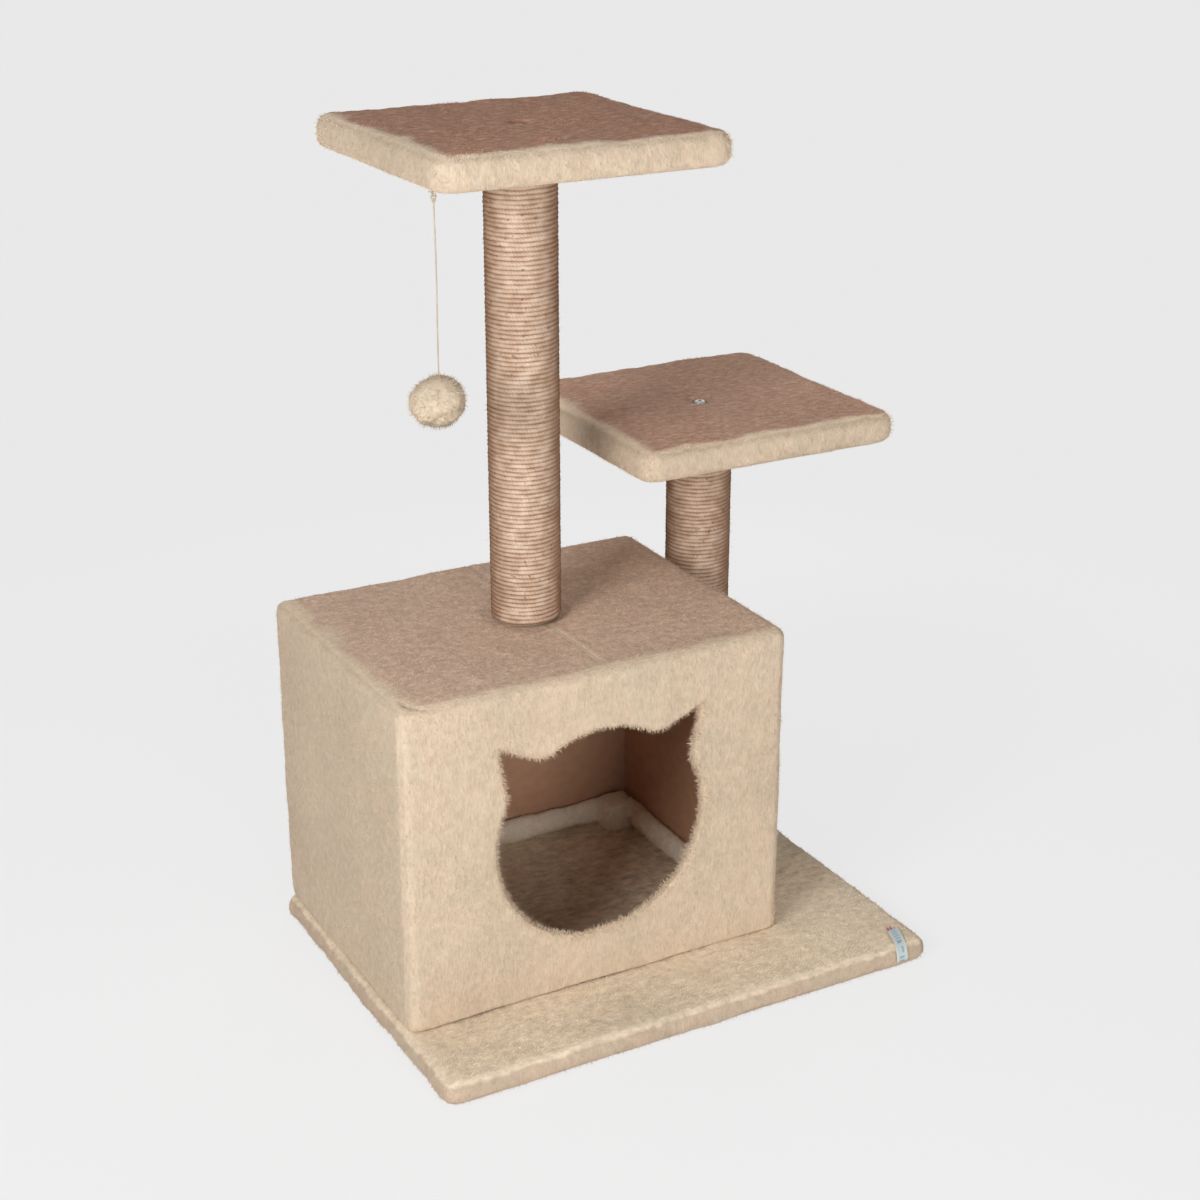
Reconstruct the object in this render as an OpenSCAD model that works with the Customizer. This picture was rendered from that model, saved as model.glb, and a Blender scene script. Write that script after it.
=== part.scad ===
// Cat tree: a carpeted base carries a plush house with a cat-head entrance, a tall rope
// post on the house roof and a short rope post beside it. Each post holds a plush platform,
// and a ball hangs on a cord from the upper platform.
// Frame: origin at the middle of the base's underside, +X to the short post, -Y to the
// entrance, +Z up.

/* [Base] */
// Width of the covered base, left to right
base_w = 606; // [580:2:680]
// Depth of the covered base, front to back
base_d = 458; // [440:2:520]
// Thickness of the base board
base_board_t = 16; // [12:1:22]
// Radius of the base's outer corners, seen from above
base_corner_r = 16; // [12:1:24]
// Width of the plush turned under the base board
base_hem_w = 36; // [24:1:48]

/* [Plush] */
// Thickness of the plush on the base and on the house
pile = 7; // [5:0.5:8]
// Thickness of the plush where it is folded under and stapled flat
flat_pile = 3; // [2:0.5:4]
// Radius that the plush gives to an edge
pile_edge_r = 9; // [8:0.5:11]
// Depth of the sewn seam on the roof
seam_depth = 2; // [1:0.5:3]

/* [House] */
// Width of the covered house
house_w = 462; // [440:2:480]
// Depth of the covered house
house_d = 351; // [330:1:365]
// Height of the covered house above the base
house_h = 372; // [350:1:400]
// Distance from the base's left side to the house
house_inset = 8; // [2:1:12]
// Thickness of the hardboard walls
wall_t = 5; // [3:0.5:6]
// Thickness of the roof board
roof_t = 16; // [12:1:22]
// Side of the square corner blocks
block_w = 34; // [28:1:44]
// Height of the corner blocks
block_h = 20; // [16:1:26]
// Height of the plush hem turned up inside the walls
hem_h = 21; // [15:1:30]

/* [Entrance] */
// Radius of the round face
face_r = 126; // [110:1:130]
// Height of the face's centre above the base
face_z = 187; // [180:1:195]
// Height above the base at which the ears leave the face
cheek_z = 244; // [235:1:250]
// Distance from the middle to an ear's tip
ear_x = 122; // [116:1:130]
// Height of the ear tips above the base
ear_z = 307; // [300:1:315]
// Distance from the middle to the foot of an ear
ear_foot_x = 75; // [70:1:80]
// Height of the foot of an ear above the base
ear_foot_z = 286; // [280:1:290]
// Width of the small flat between ear and crown
ear_flat = 12; // [6:1:16]
// Height of the top of the head above the base
crown_z = 304; // [300:1:308]

/* [Posts] */
// Outer diameter of the cardboard tubes
tube_d = 68; // [60:1:76]
// Wall of the cardboard tubes
tube_wall = 4; // [3:0.5:6]
// Thickness of the rope
rope_d = 5; // [4:0.5:6]
// Rise of the rope in each turn
rope_pitch = 4.8; // [4.6:0.1:6.6]
// Length of the tall post that shows between roof and platform
tall_post_len = 503; // [400:1:600]
// Length of the short post that shows between base and platform
short_post_len = 515; // [420:1:600]
// Gap between the house and the short post
short_post_gap = 20; // [12:1:30]
// Distance from the base's back edge to the middle of the short post
short_post_back = 63; // [56:1:110]
// Thickness of the wooden plugs in the tube ends
plug_t = 22; // [18:1:30]

/* [Platforms] */
// Width of the upper platform
top_platform_w = 326; // [280:2:360]
// Depth of the upper platform
top_platform_d = 316; // [280:2:360]
// Width of the side platform
side_platform_w = 336; // [300:2:360]
// Depth of the side platform
side_platform_d = 328; // [300:2:360]
// Thickness of the platform boards
platform_board_t = 18; // [14:1:22]
// Thickness of the long plush on the platforms
platform_pile = 9; // [8:0.5:12]
// Thickness of the plush folded under the platform boards
platform_hem_t = 8; // [6:0.5:9]
// Width of the plush folded under the platform boards
platform_hem_w = 48; // [36:1:60]
// Radius of the platforms' corners, seen from above
platform_corner_r = 22; // [18:1:30]
// Radius that the long plush gives to the platforms' edges
platform_edge_r = 13; // [8:0.5:15]
// Width of the dimple that the bolt pulls into the plush
dimple_d = 44; // [30:1:60]
// Depth of that dimple
dimple_depth = 3.5; // [2:0.5:5]

/* [Fasteners] */
// Diameter of the post bolts
bolt_d = 8; // [6:1:8]
// Diameter of the bolt heads
bolt_head_d = 14; // [13:0.5:16]
// Height of the bolt heads
bolt_head_h = 4.5; // [4:0.5:6]
// Across flats of the socket in the bolt heads
socket_w = 5; // [4:0.5:6]
// Outer diameter of the washers
washer_d = 20; // [18:1:26]
// Thickness of the washers
washer_t = 1.6; // [1.2:0.1:2.4]
// Outer diameter of the threaded inserts in the plugs
insert_d = 12; // [11:0.5:14]
// Diameter of the wood screws in the corner blocks
screw_d = 4; // [3:0.5:5]
// Distance from the wood screws' tips to the tops of the corner blocks
screw_tip_gap = 6; // [4:1:8]
// Crown width of the staples
staple_w = 10; // [8:1:14]
// Thickness of the staple wire
staple_wire = 1.2; // [1:0.1:1.5]
// Corner radius of the bare areas inside the hems, under the boards
hem_corner_r = 8; // [4:1:20]
// Leg length of the staples in the boards
staple_leg = 9; // [6:1:12]
// Distance between the staples under a board
staple_step = 50; // [40:1:70]

/* [Toy] */
// Distance from the upper platform's left side to the cord
toy_inset_x = 16; // [12:1:60]
// Distance from the upper platform's front to the cord
toy_inset_y = 48; // [40:1:80]
// Width of the ball
ball_d = 54; // [40:1:60]
// Height of the ball
ball_h = 49; // [36:1:60]
// Thickness of the plush on the ball
ball_pile = 6; // [4:0.5:8]

/* [Label] */
// Width of the woven tag
tag_w = 15; // [12:1:24]
// Distance from the base's right side to the tag's middle
tag_inset = 33; // [28:1:60]
// Length of the tag on top of the base
tag_top_len = 36; // [20:1:42]
// Length of the tag down the front of the base
tag_front_len = 13; // [8:1:13]
// Thickness of the tag
tag_t = 0.8; // [0.5:0.1:1.2]

/* [Hidden] */

eps = 0.01;
fine = 64;

cream = [0.87, 0.80, 0.69];
taupe = [0.60, 0.49, 0.42];
board_brown = [0.52, 0.38, 0.28];
chip = [0.76, 0.64, 0.47];
sisal = [0.78, 0.66, 0.52];
steel = [0.72, 0.72, 0.72];

// Heights
base_h = flat_pile + base_board_t + pile;
house_top = base_h + house_h;
top_under = house_top + tall_post_len;
side_under = base_h + short_post_len;

// House box: the covered outside, then the outside and inside of the walls
house_x = -base_w / 2 + house_inset + house_w / 2;
house_y = base_d / 2 - house_d / 2;
wall_box_w = house_w - 2 * pile;
wall_box_d = house_d - 2 * pile;
room_w = wall_box_w - 2 * wall_t;
room_d = wall_box_d - 2 * wall_t;
wall_foot = base_h + flat_pile;
wall_top = house_top - pile;
roof_under = wall_top - roof_t;

// Entrance arcs
crown_half = ear_foot_x - ear_flat;
crown_rise = crown_z - ear_foot_z;
crown_r = (crown_half * crown_half + crown_rise * crown_rise) / (2 * crown_rise);

// Posts
rope_out_d = tube_d + 2 * rope_d;
tall_x = house_x;
tall_y = house_y;
short_x = house_x + house_w / 2 + short_post_gap + rope_out_d / 2;
short_y = base_d / 2 - short_post_back;
bore_gap = 0.25;
bolt_hole = bolt_d + 2 * bore_gap;
insert_len = plug_t - 4;
counterbore = bolt_head_h + washer_t + 1;

// Platforms, as [width, depth, middle x, middle y, underside z]
top_platform = [top_platform_w, top_platform_d, tall_x, tall_y, top_under];
side_platform = [side_platform_w, side_platform_d, short_x, short_y, side_under];
platform_h = platform_hem_t + platform_board_t + platform_pile;
dimple_r = (dimple_d * dimple_d / 4 + dimple_depth * dimple_depth) / (2 * dimple_depth);

// Blocks stand in the inner corners of the walls
block_x = room_w / 2 - block_w / 2;
block_y = room_d / 2 - block_w / 2;
screw_len = base_board_t + pile + block_h - screw_tip_gap;

// Toy: a staple, a loop round its crown, a knotted eye through the loop, then the cord
cord_d = 1.6;
loop_r = 3;
eye_r = 2.4;
knot_d = 3;
link_gap = 0.15;
swing_out = 60;
staple_seat = staple_wire / 2 + 0.5;
toy_x = tall_x - top_platform_w / 2 + toy_inset_x;
toy_y = tall_y - top_platform_d / 2 + toy_inset_y;
loop_drop = loop_r - cord_d / 2 - staple_wire / 2 - link_gap;
crown_drop = loop_r + cord_d / 2 - loop_drop * cos(swing_out) + 2 * link_gap;
pivot_z = top_under - crown_drop;
loop_z = pivot_z - loop_drop;
loop_foot_z = loop_z - loop_r;
eye_z = loop_foot_z - (eye_r - cord_d - link_gap);
cord_top_z = eye_z - eye_r - knot_d;
// Route of the cord below the knot, as offsets from its top end
cord_route = [[0, 0, 0], [0.4, 0, -30], [0.8, 0.2, -60], [0.6, 0.3, -90], [0.2, 0.2, -120],
    [0, 0, -150], [0, 0, -176]];
cord_len = -cord_route[len(cord_route) - 1][2];
ball_z = cord_top_z - cord_len + ball_pile - ball_h / 2;

// ---- shapes ----

module rounded_rect(w, d, r) {
    square([w - 2 * r, d], center = true);
    square([w, d - 2 * r], center = true);
    for (x = [-1, 1], y = [-1, 1])
        translate([x * (w / 2 - r), y * (d / 2 - r)]) circle(r = r, $fn = fine);
}

module slab(w, d, h, r) {
    linear_extrude(height = h) rounded_rect(w, d, r);
}

// A slab whose long edges are rounded too, with its foot at z = 0
module soft_slab(w, d, h, corner_r, edge_r) {
    r = min(edge_r, h / 2 - 0.5);
    intersection() {
        slab(w, d, h, corner_r);
        translate([0, d / 2, h / 2]) rotate([90, 0, 0])
            linear_extrude(height = d) rounded_rect(w, h, r);
        translate([-w / 2, 0, h / 2]) rotate([90, 0, 90])
            linear_extrude(height = w) rounded_rect(d, h, r);
    }
}

module bore(d, z0, z1) {
    translate([0, 0, z0]) cylinder(d = d, h = z1 - z0, $fn = fine);
}

module at_blocks() {
    for (x = [-1, 1], y = [-1, 1])
        translate([house_x + x * block_x, house_y + y * block_y, 0]) children();
}

// A wire staple with its crown's middle at the origin and its legs up
module staple(leg) {
    translate([-staple_w / 2, -staple_wire / 2, -staple_wire / 2])
        cube([staple_w, staple_wire, staple_wire]);
    for (s = [-1, 1])
        translate([s * (staple_w - staple_wire) / 2 - staple_wire / 2, -staple_wire / 2, -eps])
            cube([staple_wire, staple_wire, leg]);
}

// Staples in a ring along the hem of a board, a given distance in from its edges
module staple_ring(w, d, inset, step, leg) {
    nx = floor((w - 2 * inset) / step);
    ny = floor((d - 2 * inset) / step);
    for (i = [0 : nx], s = [-1, 1])
        translate([(i - nx / 2) * step, s * (d / 2 - inset), 0]) staple(leg);
    for (i = [0 : ny], s = [-1, 1])
        translate([s * (w / 2 - inset), (i - ny / 2) * step, 0]) rotate(90) staple(leg);
}

// ---- base ----

module base_board() {
    color(chip) difference() {
        translate([0, 0, flat_pile])
            slab(base_w - 2 * pile, base_d - 2 * pile, base_board_t, base_corner_r - pile);
        translate([short_x, short_y, 0]) {
            bore(bolt_hole, -1, base_h);
            bore(washer_d + 1, -1, flat_pile + counterbore);
        }
        at_blocks() bore(screw_d + 2 * bore_gap, -1, base_h);
        at_blocks() translate([0, 0, flat_pile - eps])
            cylinder(d1 = 2 * screw_d + 2 * bore_gap, d2 = screw_d + 2 * bore_gap,
                h = screw_d / 2, $fn = fine);
    }
}

module base_cover() {
    color(cream) difference() {
        soft_slab(base_w, base_d, base_h, base_corner_r, pile_edge_r);
        translate([0, 0, flat_pile])
            slab(base_w - 2 * pile, base_d - 2 * pile, base_board_t, base_corner_r - pile);
        translate([0, 0, -1])
            slab(base_w - 2 * base_hem_w, base_d - 2 * base_hem_w, base_h / 2, hem_corner_r);
        translate([short_x, short_y, 0]) bore(bolt_hole, -1, base_h + 1);
        at_blocks() bore(2 * screw_d + 1, -1, flat_pile + 1);
        at_blocks() bore(screw_d + 2 * bore_gap, -1, base_h + 1);
    }
}

module base_staples() {
    color(steel) translate([0, 0, flat_pile / 2])
        staple_ring(base_w, base_d, base_hem_w / 2, staple_step, staple_leg);
}

module label_tag() {
    x = base_w / 2 - tag_inset - tag_w / 2;
    lap = pile_edge_r;
    color([0.68, 0.80, 0.86]) translate([x, -base_d / 2, 0]) rotate([90, 0, 90])
        linear_extrude(height = tag_w) {
            translate([lap, base_h]) square([tag_top_len - lap, tag_t]);
            translate([-tag_t, base_h - tag_front_len])
                square([tag_t, tag_front_len - lap]);
            translate([lap, base_h - lap]) intersection() {
                difference() {
                    circle(r = lap + tag_t, $fn = fine);
                    circle(r = lap, $fn = fine);
                }
                translate([-lap - tag_t, 0]) square(lap + tag_t);
            }
        }
}

// ---- house ----

module corner_blocks() {
    color(chip) difference() {
        at_blocks() translate([-block_w / 2, -block_w / 2, base_h])
            cube([block_w, block_w, block_h]);
        at_blocks() bore(screw_d + 0.1, base_h - 1, flat_pile + screw_len + 0.1);
    }
}

module block_screws() {
    color(steel) at_blocks() {
        bore(screw_d, flat_pile + screw_d / 2 - eps, flat_pile + screw_len);
        translate([0, 0, flat_pile])
            cylinder(d1 = 2 * screw_d, d2 = screw_d, h = screw_d / 2, $fn = fine);
    }
}

// Outline of the entrance in the front wall's plane, with the base's top at y = 0. It is
// wider all round by grow.
module cat_head(grow) {
    r = face_r + grow;
    cheek = sqrt(r * r - (cheek_z - face_z) * (cheek_z - face_z));
    foot_z = ear_foot_z + grow;
    half = crown_half - grow / 2;
    intersection() {
        translate([0, face_z]) circle(r = r, $fn = 2 * fine);
        translate([-r, face_z - r]) square([2 * r, cheek_z - face_z + r]);
    }
    intersection() {
        translate([0, crown_z - crown_r]) circle(r = crown_r + grow, $fn = 2 * fine);
        translate([-half, cheek_z - 1]) square([2 * half, crown_z + grow - cheek_z + 1]);
    }
    for (s = [-1, 1])
        polygon([[0, cheek_z - 1], [s * cheek, cheek_z - 1], [s * cheek, cheek_z],
            [s * (ear_x + grow), ear_z + 1.6 * grow], [s * ear_foot_x, foot_z], [s * half, foot_z]]);
}

// Cuts the entrance through whatever lies between two depths behind the house's front
module entrance_cut(depth0, depth1, grow) {
    translate([house_x, house_y - house_d / 2 + depth1, base_h]) rotate([90, 0, 0])
        linear_extrude(height = depth1 - depth0) cat_head(grow);
}

module wall_between(x0, x1, y0, y1) {
    translate([house_x + x0, house_y + y0, wall_foot])
        cube([x1 - x0, y1 - y0, wall_top - wall_foot]);
}

module front_wall() {
    color(board_brown) difference() {
        wall_between(-wall_box_w / 2, wall_box_w / 2, -wall_box_d / 2, -room_d / 2);
        entrance_cut(pile - 1, pile + wall_t + 1, flat_pile);
    }
}

module back_wall() {
    color(board_brown)
        wall_between(-wall_box_w / 2, wall_box_w / 2, room_d / 2, wall_box_d / 2);
}

module left_wall() {
    color(board_brown) wall_between(-wall_box_w / 2, -room_w / 2, -room_d / 2, room_d / 2);
}

module right_wall() {
    color(board_brown) wall_between(room_w / 2, wall_box_w / 2, -room_d / 2, room_d / 2);
}

module roof_panel() {
    color(chip) difference() {
        translate([house_x - room_w / 2, house_y - room_d / 2, roof_under])
            cube([room_w, room_d, roof_t]);
        translate([tall_x, tall_y, 0]) bore(bolt_hole, roof_under - 1, wall_top + 1);
    }
}

// Plush outside the walls and over the roof, in one hollow shell
module house_shell() {
    translate([house_x, house_y, base_h]) difference() {
        intersection() {
            translate([0, 0, -pile_edge_r])
                soft_slab(house_w, house_d, house_h + pile_edge_r, pile_edge_r, pile_edge_r);
            translate([-house_w / 2, -house_d / 2, 0]) cube([house_w, house_d, house_h]);
        }
        translate([-wall_box_w / 2, -wall_box_d / 2, -1])
            cube([wall_box_w, wall_box_d, house_h - pile + 1]);
    }
}

// A box given by its lowest and highest corners, measured from the middle of the house's foot
module house_box(low, high) {
    translate([house_x + low[0], house_y + low[1], base_h + low[2]]) cube(high - low);
}

// Plush of the front (side = -1) or of the back (side = 1)
module end_cover(side) {
    reach = house_d / 2 + 1;
    strip_x = room_w / 2 - block_w - flat_pile;
    y_out = wall_box_d / 2;
    y_in = room_d / 2 - flat_pile;
    module end_box(x, y0, y1, z0, z1) {
        house_box([-x, min(side * y0, side * y1), z0], [x, max(side * y0, side * y1), z1]);
    }
    intersection() {
        house_shell();
        end_box(house_w / 2, y_out, reach, 0, house_h);
    }
    end_box(wall_box_w / 2, room_d / 2, y_out, 0, flat_pile);
    end_box(strip_x, y_in, room_d / 2, 0, hem_h);
}

// Plush of the left (side = -1) or the right (side = 1), with that half of the roof
module side_cover(side) {
    reach = house_w / 2 + 1;
    strip_y = room_d / 2 - block_w - flat_pile;
    x_out = wall_box_w / 2;
    x_in = room_w / 2 - flat_pile;
    module side_box(x0, x1, y, z0, z1) {
        house_box([min(side * x0, side * x1), -y, z0], [max(side * x0, side * x1), y, z1]);
    }
    intersection() {
        house_shell();
        side_box(0, reach, wall_box_d / 2, 0, house_h);
    }
    side_box(room_w / 2, x_out, room_d / 2, 0, flat_pile);
    side_box(x_in, room_w / 2, strip_y, 0, hem_h);
    for (y = [-1, 1]) difference() {
        translate([house_x + side * block_x, house_y + y * block_y, base_h])
            translate([-side * flat_pile / 2, -y * flat_pile / 2, (block_h + flat_pile) / 2])
                cube([block_w + flat_pile, block_w + flat_pile, block_h + flat_pile],
                    center = true);
        translate([house_x + side * block_x, house_y + y * block_y, base_h + block_h / 2])
            cube([block_w, block_w, block_h + eps], center = true);
    }
}

module front_cover() {
    color(cream) difference() {
        union() {
            end_cover(-1);
            entrance_cut(pile, pile + wall_t, flat_pile);
        }
        entrance_cut(-1, pile + wall_t + 1, 0);
    }
}

module back_cover() {
    color(cream) end_cover(1);
}

// Bolt hole through the roof's plush, and the furrow that the seam makes in it
module roof_cuts() {
    translate([tall_x, tall_y, 0]) bore(bolt_hole, wall_top - 1, house_top + 1);
    translate([house_x, house_y, house_top]) rotate([0, 45, 0])
        cube([seam_depth * sqrt(2), wall_box_d, seam_depth * sqrt(2)], center = true);
}

module left_cover() {
    color(cream) difference() {
        side_cover(-1);
        roof_cuts();
    }
}

module right_cover() {
    color(cream) difference() {
        side_cover(1);
        roof_cuts();
    }
}

module hem_staples() {
    top = base_h + block_h + flat_pile;
    mid = base_h + hem_h * 0.6;
    hem_x = room_w / 2 - flat_pile;
    hem_y = room_d / 2 - flat_pile;
    color(steel) {
        at_blocks() for (s = [-1, 1])
            translate([0, s * block_w / 4, top - staple_seat])
                rotate([180, 0, 0]) staple(staple_leg);
        for (x = [-1, 0, 1], s = [-1, 1])
            translate([house_x + x * room_w / 4, house_y + s * (hem_y + staple_seat), mid])
                rotate([-s * 90, 0, 0]) staple(flat_pile + wall_t - 2);
        for (y = [-1, 1], s = [-1, 1])
            translate([house_x + s * (hem_x + staple_seat), house_y + y * room_d / 8, mid])
                rotate([0, 0, 90]) rotate([s * 90, 0, 0]) staple(flat_pile + wall_t - 2);
    }
}

// ---- posts ----

module post_tube(z0, z1) {
    color(chip) difference() {
        bore(tube_d, z0, z1);
        bore(tube_d - 2 * tube_wall, z0 - 1, z1 + 1);
    }
}

// Rope wound round the tube, one rounded turn on the next
module post_rope(z0, z1) {
    turns = floor((z1 - z0) / rope_pitch);
    rise = (z1 - z0) / turns;
    profile = [for (i = [0 : turns - 1], a = [-60, -30, 0, 30, 60])
        [tube_d / 2 + rope_d / 2 * (1 + cos(a)), z0 + rise * (i + 0.5 + sin(a) / 2)]];
    color(sisal) rotate_extrude($fn = fine) polygon(concat(
        [[tube_d / 2, z0], [tube_d / 2 + rope_d / 2, z0]],
        profile,
        [[tube_d / 2 + rope_d / 2, z1], [tube_d / 2, z1]]));
}

// Wooden plug with its insert's hole at the outer end, which lies at z and faces up or down
module post_plug(z, up) {
    s = up ? 1 : -1;
    inner = z - s * plug_t;
    color(chip) difference() {
        bore(tube_d - 2 * tube_wall, min(z, inner), max(z, inner));
        bore(bolt_hole, min(z, inner) - 1, max(z, inner) + 1);
        bore(insert_d, min(z - s * insert_len, z + s), max(z - s * insert_len, z + s));
    }
}

module insert(z, up) {
    z0 = up ? z - insert_len : z;
    difference() {
        bore(insert_d, z0, z0 + insert_len);
        bore(bolt_hole, z0 - 1, z0 + insert_len + 1);
    }
}

module washer(z) {
    difference() {
        bore(washer_d, z, z + washer_t);
        bore(bolt_hole, z - 1, z + washer_t + 1);
    }
}

// Bolt whose head rests on a face at z; its shank runs away from the head
module bolt(z, len, head_up) {
    r = bolt_head_d / 2;
    h = bolt_head_h;
    translate([0, 0, z]) mirror([0, 0, head_up ? 0 : 1]) difference() {
        union() {
            rotate_extrude($fn = fine) polygon([[0, 0], [r, 0], [r, 0.35 * h], [0.93 * r, 0.65 * h],
                [0.75 * r, 0.9 * h], [0.55 * r, h], [0, h]]);
            translate([0, 0, -len]) cylinder(d = bolt_d, h = len + eps, $fn = fine);
        }
        translate([0, 0, 0.4 * h]) cylinder(d = socket_w / cos(30), h = h, $fn = 6);
    }
}

tall_foot = house_top;
tall_head = top_under + platform_hem_t;
short_foot = base_h;
short_head = side_under + platform_hem_t;
platform_grip = platform_board_t + washer_t;
roof_grip = roof_t + pile + washer_t;
base_grip = base_board_t - counterbore + pile + washer_t;
base_seat = flat_pile + counterbore;

module at_tall() {
    translate([tall_x, tall_y, 0]) children();
}

module at_short() {
    translate([short_x, short_y, 0]) children();
}

module tall_post_tube() {
    at_tall() post_tube(tall_foot, tall_head);
}

module tall_post_rope() {
    at_tall() post_rope(tall_foot, tall_head);
}

module tall_post_top_plug() {
    at_tall() post_plug(tall_head, true);
}

module tall_post_bottom_plug() {
    at_tall() post_plug(tall_foot, false);
}

module tall_post_inserts() {
    color(steel) at_tall() {
        insert(tall_head, true);
        insert(tall_foot, false);
    }
}

module tall_post_bolts() {
    color(steel) at_tall() {
        bolt(tall_head + platform_grip, platform_grip + insert_len, true);
        bolt(roof_under - washer_t, roof_grip + insert_len, false);
    }
}

module tall_post_washers() {
    color(steel) at_tall() {
        washer(tall_head + platform_board_t);
        washer(roof_under - washer_t);
    }
}

module short_post_tube() {
    at_short() post_tube(short_foot, short_head);
}

module short_post_rope() {
    at_short() post_rope(short_foot, short_head);
}

module short_post_top_plug() {
    at_short() post_plug(short_head, true);
}

module short_post_bottom_plug() {
    at_short() post_plug(short_foot, false);
}

module short_post_inserts() {
    color(steel) at_short() {
        insert(short_head, true);
        insert(short_foot, false);
    }
}

module short_post_bolts() {
    color(steel) at_short() {
        bolt(short_head + platform_grip, platform_grip + insert_len, true);
        bolt(base_seat - washer_t, base_grip + insert_len, false);
    }
}

module short_post_washers() {
    color(steel) at_short() {
        washer(short_head + platform_board_t);
        washer(base_seat - washer_t);
    }
}

// ---- platforms ----

// Places its children at the middle of a platform's underside
module at_platform(p) {
    translate([p[2], p[3], p[4]]) children();
}

module board_slab(p) {
    translate([0, 0, platform_hem_t])
        slab(p[0] - 2 * platform_pile, p[1] - 2 * platform_pile, platform_board_t,
            platform_corner_r - platform_pile);
}

module platform_board(p, post_x, post_y) {
    color(chip) difference() {
        at_platform(p) board_slab(p);
        translate([post_x, post_y, p[4]]) bore(bolt_hole, 0, platform_h);
    }
}

module platform_cover(p, post_x, post_y) {
    color(cream) difference() {
        at_platform(p) difference() {
            soft_slab(p[0], p[1], platform_h, platform_corner_r, platform_edge_r);
            board_slab(p);
            translate([0, 0, -1]) slab(p[0] - 2 * platform_hem_w, p[1] - 2 * platform_hem_w,
                platform_hem_t + 2, hem_corner_r);
        }
        translate([post_x, post_y, p[4]]) {
            bore(washer_d + 1, platform_hem_t + platform_board_t - 1, platform_h + 1);
            translate([0, 0, platform_h + dimple_r - dimple_depth]) sphere(r = dimple_r, $fn = fine);
        }
    }
}

module platform_staples(p) {
    color(steel) at_platform(p) translate([0, 0, platform_hem_t - flat_pile])
        staple_ring(p[0], p[1], platform_hem_w * 0.75, staple_step, staple_leg + flat_pile);
}

module top_platform_board() {
    platform_board(top_platform, tall_x, tall_y);
}

module top_platform_cover() {
    platform_cover(top_platform, tall_x, tall_y);
}

module top_platform_staples() {
    platform_staples(top_platform);
}

module side_platform_board() {
    platform_board(side_platform, short_x, short_y);
}

module side_platform_cover() {
    platform_cover(side_platform, short_x, short_y);
}

module side_platform_staples() {
    platform_staples(side_platform);
}

// ---- toy ----

module ring(r) {
    rotate_extrude($fn = 32) translate([r, 0]) circle(d = cord_d, $fn = 16);
}

// Round wire bent to a staple, with the joint's line along its crown
module toy_staple() {
    leg = crown_drop + platform_hem_t + platform_board_t / 2;
    reach = (staple_w - staple_wire) / 2;
    color(steel) translate([toy_x, toy_y, pivot_z]) {
        rotate([0, 90, 0]) cylinder(d = staple_wire, h = 2 * reach, center = true, $fn = fine);
        for (s = [-1, 1]) translate([s * reach, 0, 0]) {
            sphere(d = staple_wire, $fn = fine);
            cylinder(d = staple_wire, h = leg, $fn = fine);
        }
    }
}

module toy_loop() {
    color(cream) translate([toy_x, toy_y, loop_z]) rotate([0, 90, 0]) ring(loop_r);
}

module toy_knot() {
    color(cream) translate([toy_x, toy_y, 0]) {
        translate([0, 0, eye_z]) rotate([90, 0, 0]) ring(eye_r);
        bore(knot_d, cord_top_z, eye_z - eye_r);
    }
}

// Tube through the points of a route that runs down, with level rings of the given sides
function tube_points(route, d, sides) = [for (p = route, i = [0 : sides - 1])
    p + d / 2 * [cos(360 * i / sides), sin(360 * i / sides), 0]];
function tube_faces(rings, sides) = concat(
    [[for (i = [0 : sides - 1]) i]],
    [for (k = [0 : rings - 2], i = [0 : sides - 1]) let (j = (i + 1) % sides, a = k * sides)
        [a + i, a + sides + i, a + sides + j, a + j]],
    [[for (i = [sides - 1 : -1 : 0]) (rings - 1) * sides + i]]);

module toy_cord() {
    color(cream) translate([toy_x, toy_y, cord_top_z])
        polyhedron(tube_points(cord_route, cord_d, 8), tube_faces(len(cord_route), 8));
}

// A ball with a small flat at its top and bottom, as wide and as high as it is given
module ball(d, h) {
    flat = (d - h) / 2;
    rotate_extrude($fn = fine) {
        intersection() {
            translate([flat, 0]) circle(r = h / 2, $fn = fine);
            translate([flat, -h / 2]) square(h);
        }
        translate([0, -h / 2]) square([flat, h]);
    }
}

module toy_ball_core() {
    color(chip) translate([toy_x, toy_y, ball_z]) ball(ball_d - 2 * ball_pile, ball_h - 2 * ball_pile);
}

module toy_ball_cover() {
    color(cream) translate([toy_x, toy_y, ball_z]) difference() {
        ball(ball_d, ball_h);
        ball(ball_d - 2 * ball_pile, ball_h - 2 * ball_pile);
        bore(cord_d + 0.6, 0, ball_h);
    }
}

base_board();
base_cover();
base_staples();
label_tag();
corner_blocks();
block_screws();
front_wall();
back_wall();
left_wall();
right_wall();
roof_panel();
front_cover();
back_cover();
left_cover();
right_cover();
hem_staples();
tall_post_tube();
tall_post_rope();
tall_post_top_plug();
tall_post_bottom_plug();
tall_post_inserts();
tall_post_bolts();
tall_post_washers();
short_post_tube();
short_post_rope();
short_post_top_plug();
short_post_bottom_plug();
short_post_inserts();
short_post_bolts();
short_post_washers();
top_platform_board();
top_platform_cover();
top_platform_staples();
side_platform_board();
side_platform_cover();
side_platform_staples();
toy_staple();
toy_loop();
toy_knot();
toy_cord();
toy_ball_core();
toy_ball_cover();
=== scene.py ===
import math

import bmesh
import bpy
from mathutils import Matrix, Vector, geometry, noise


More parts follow.
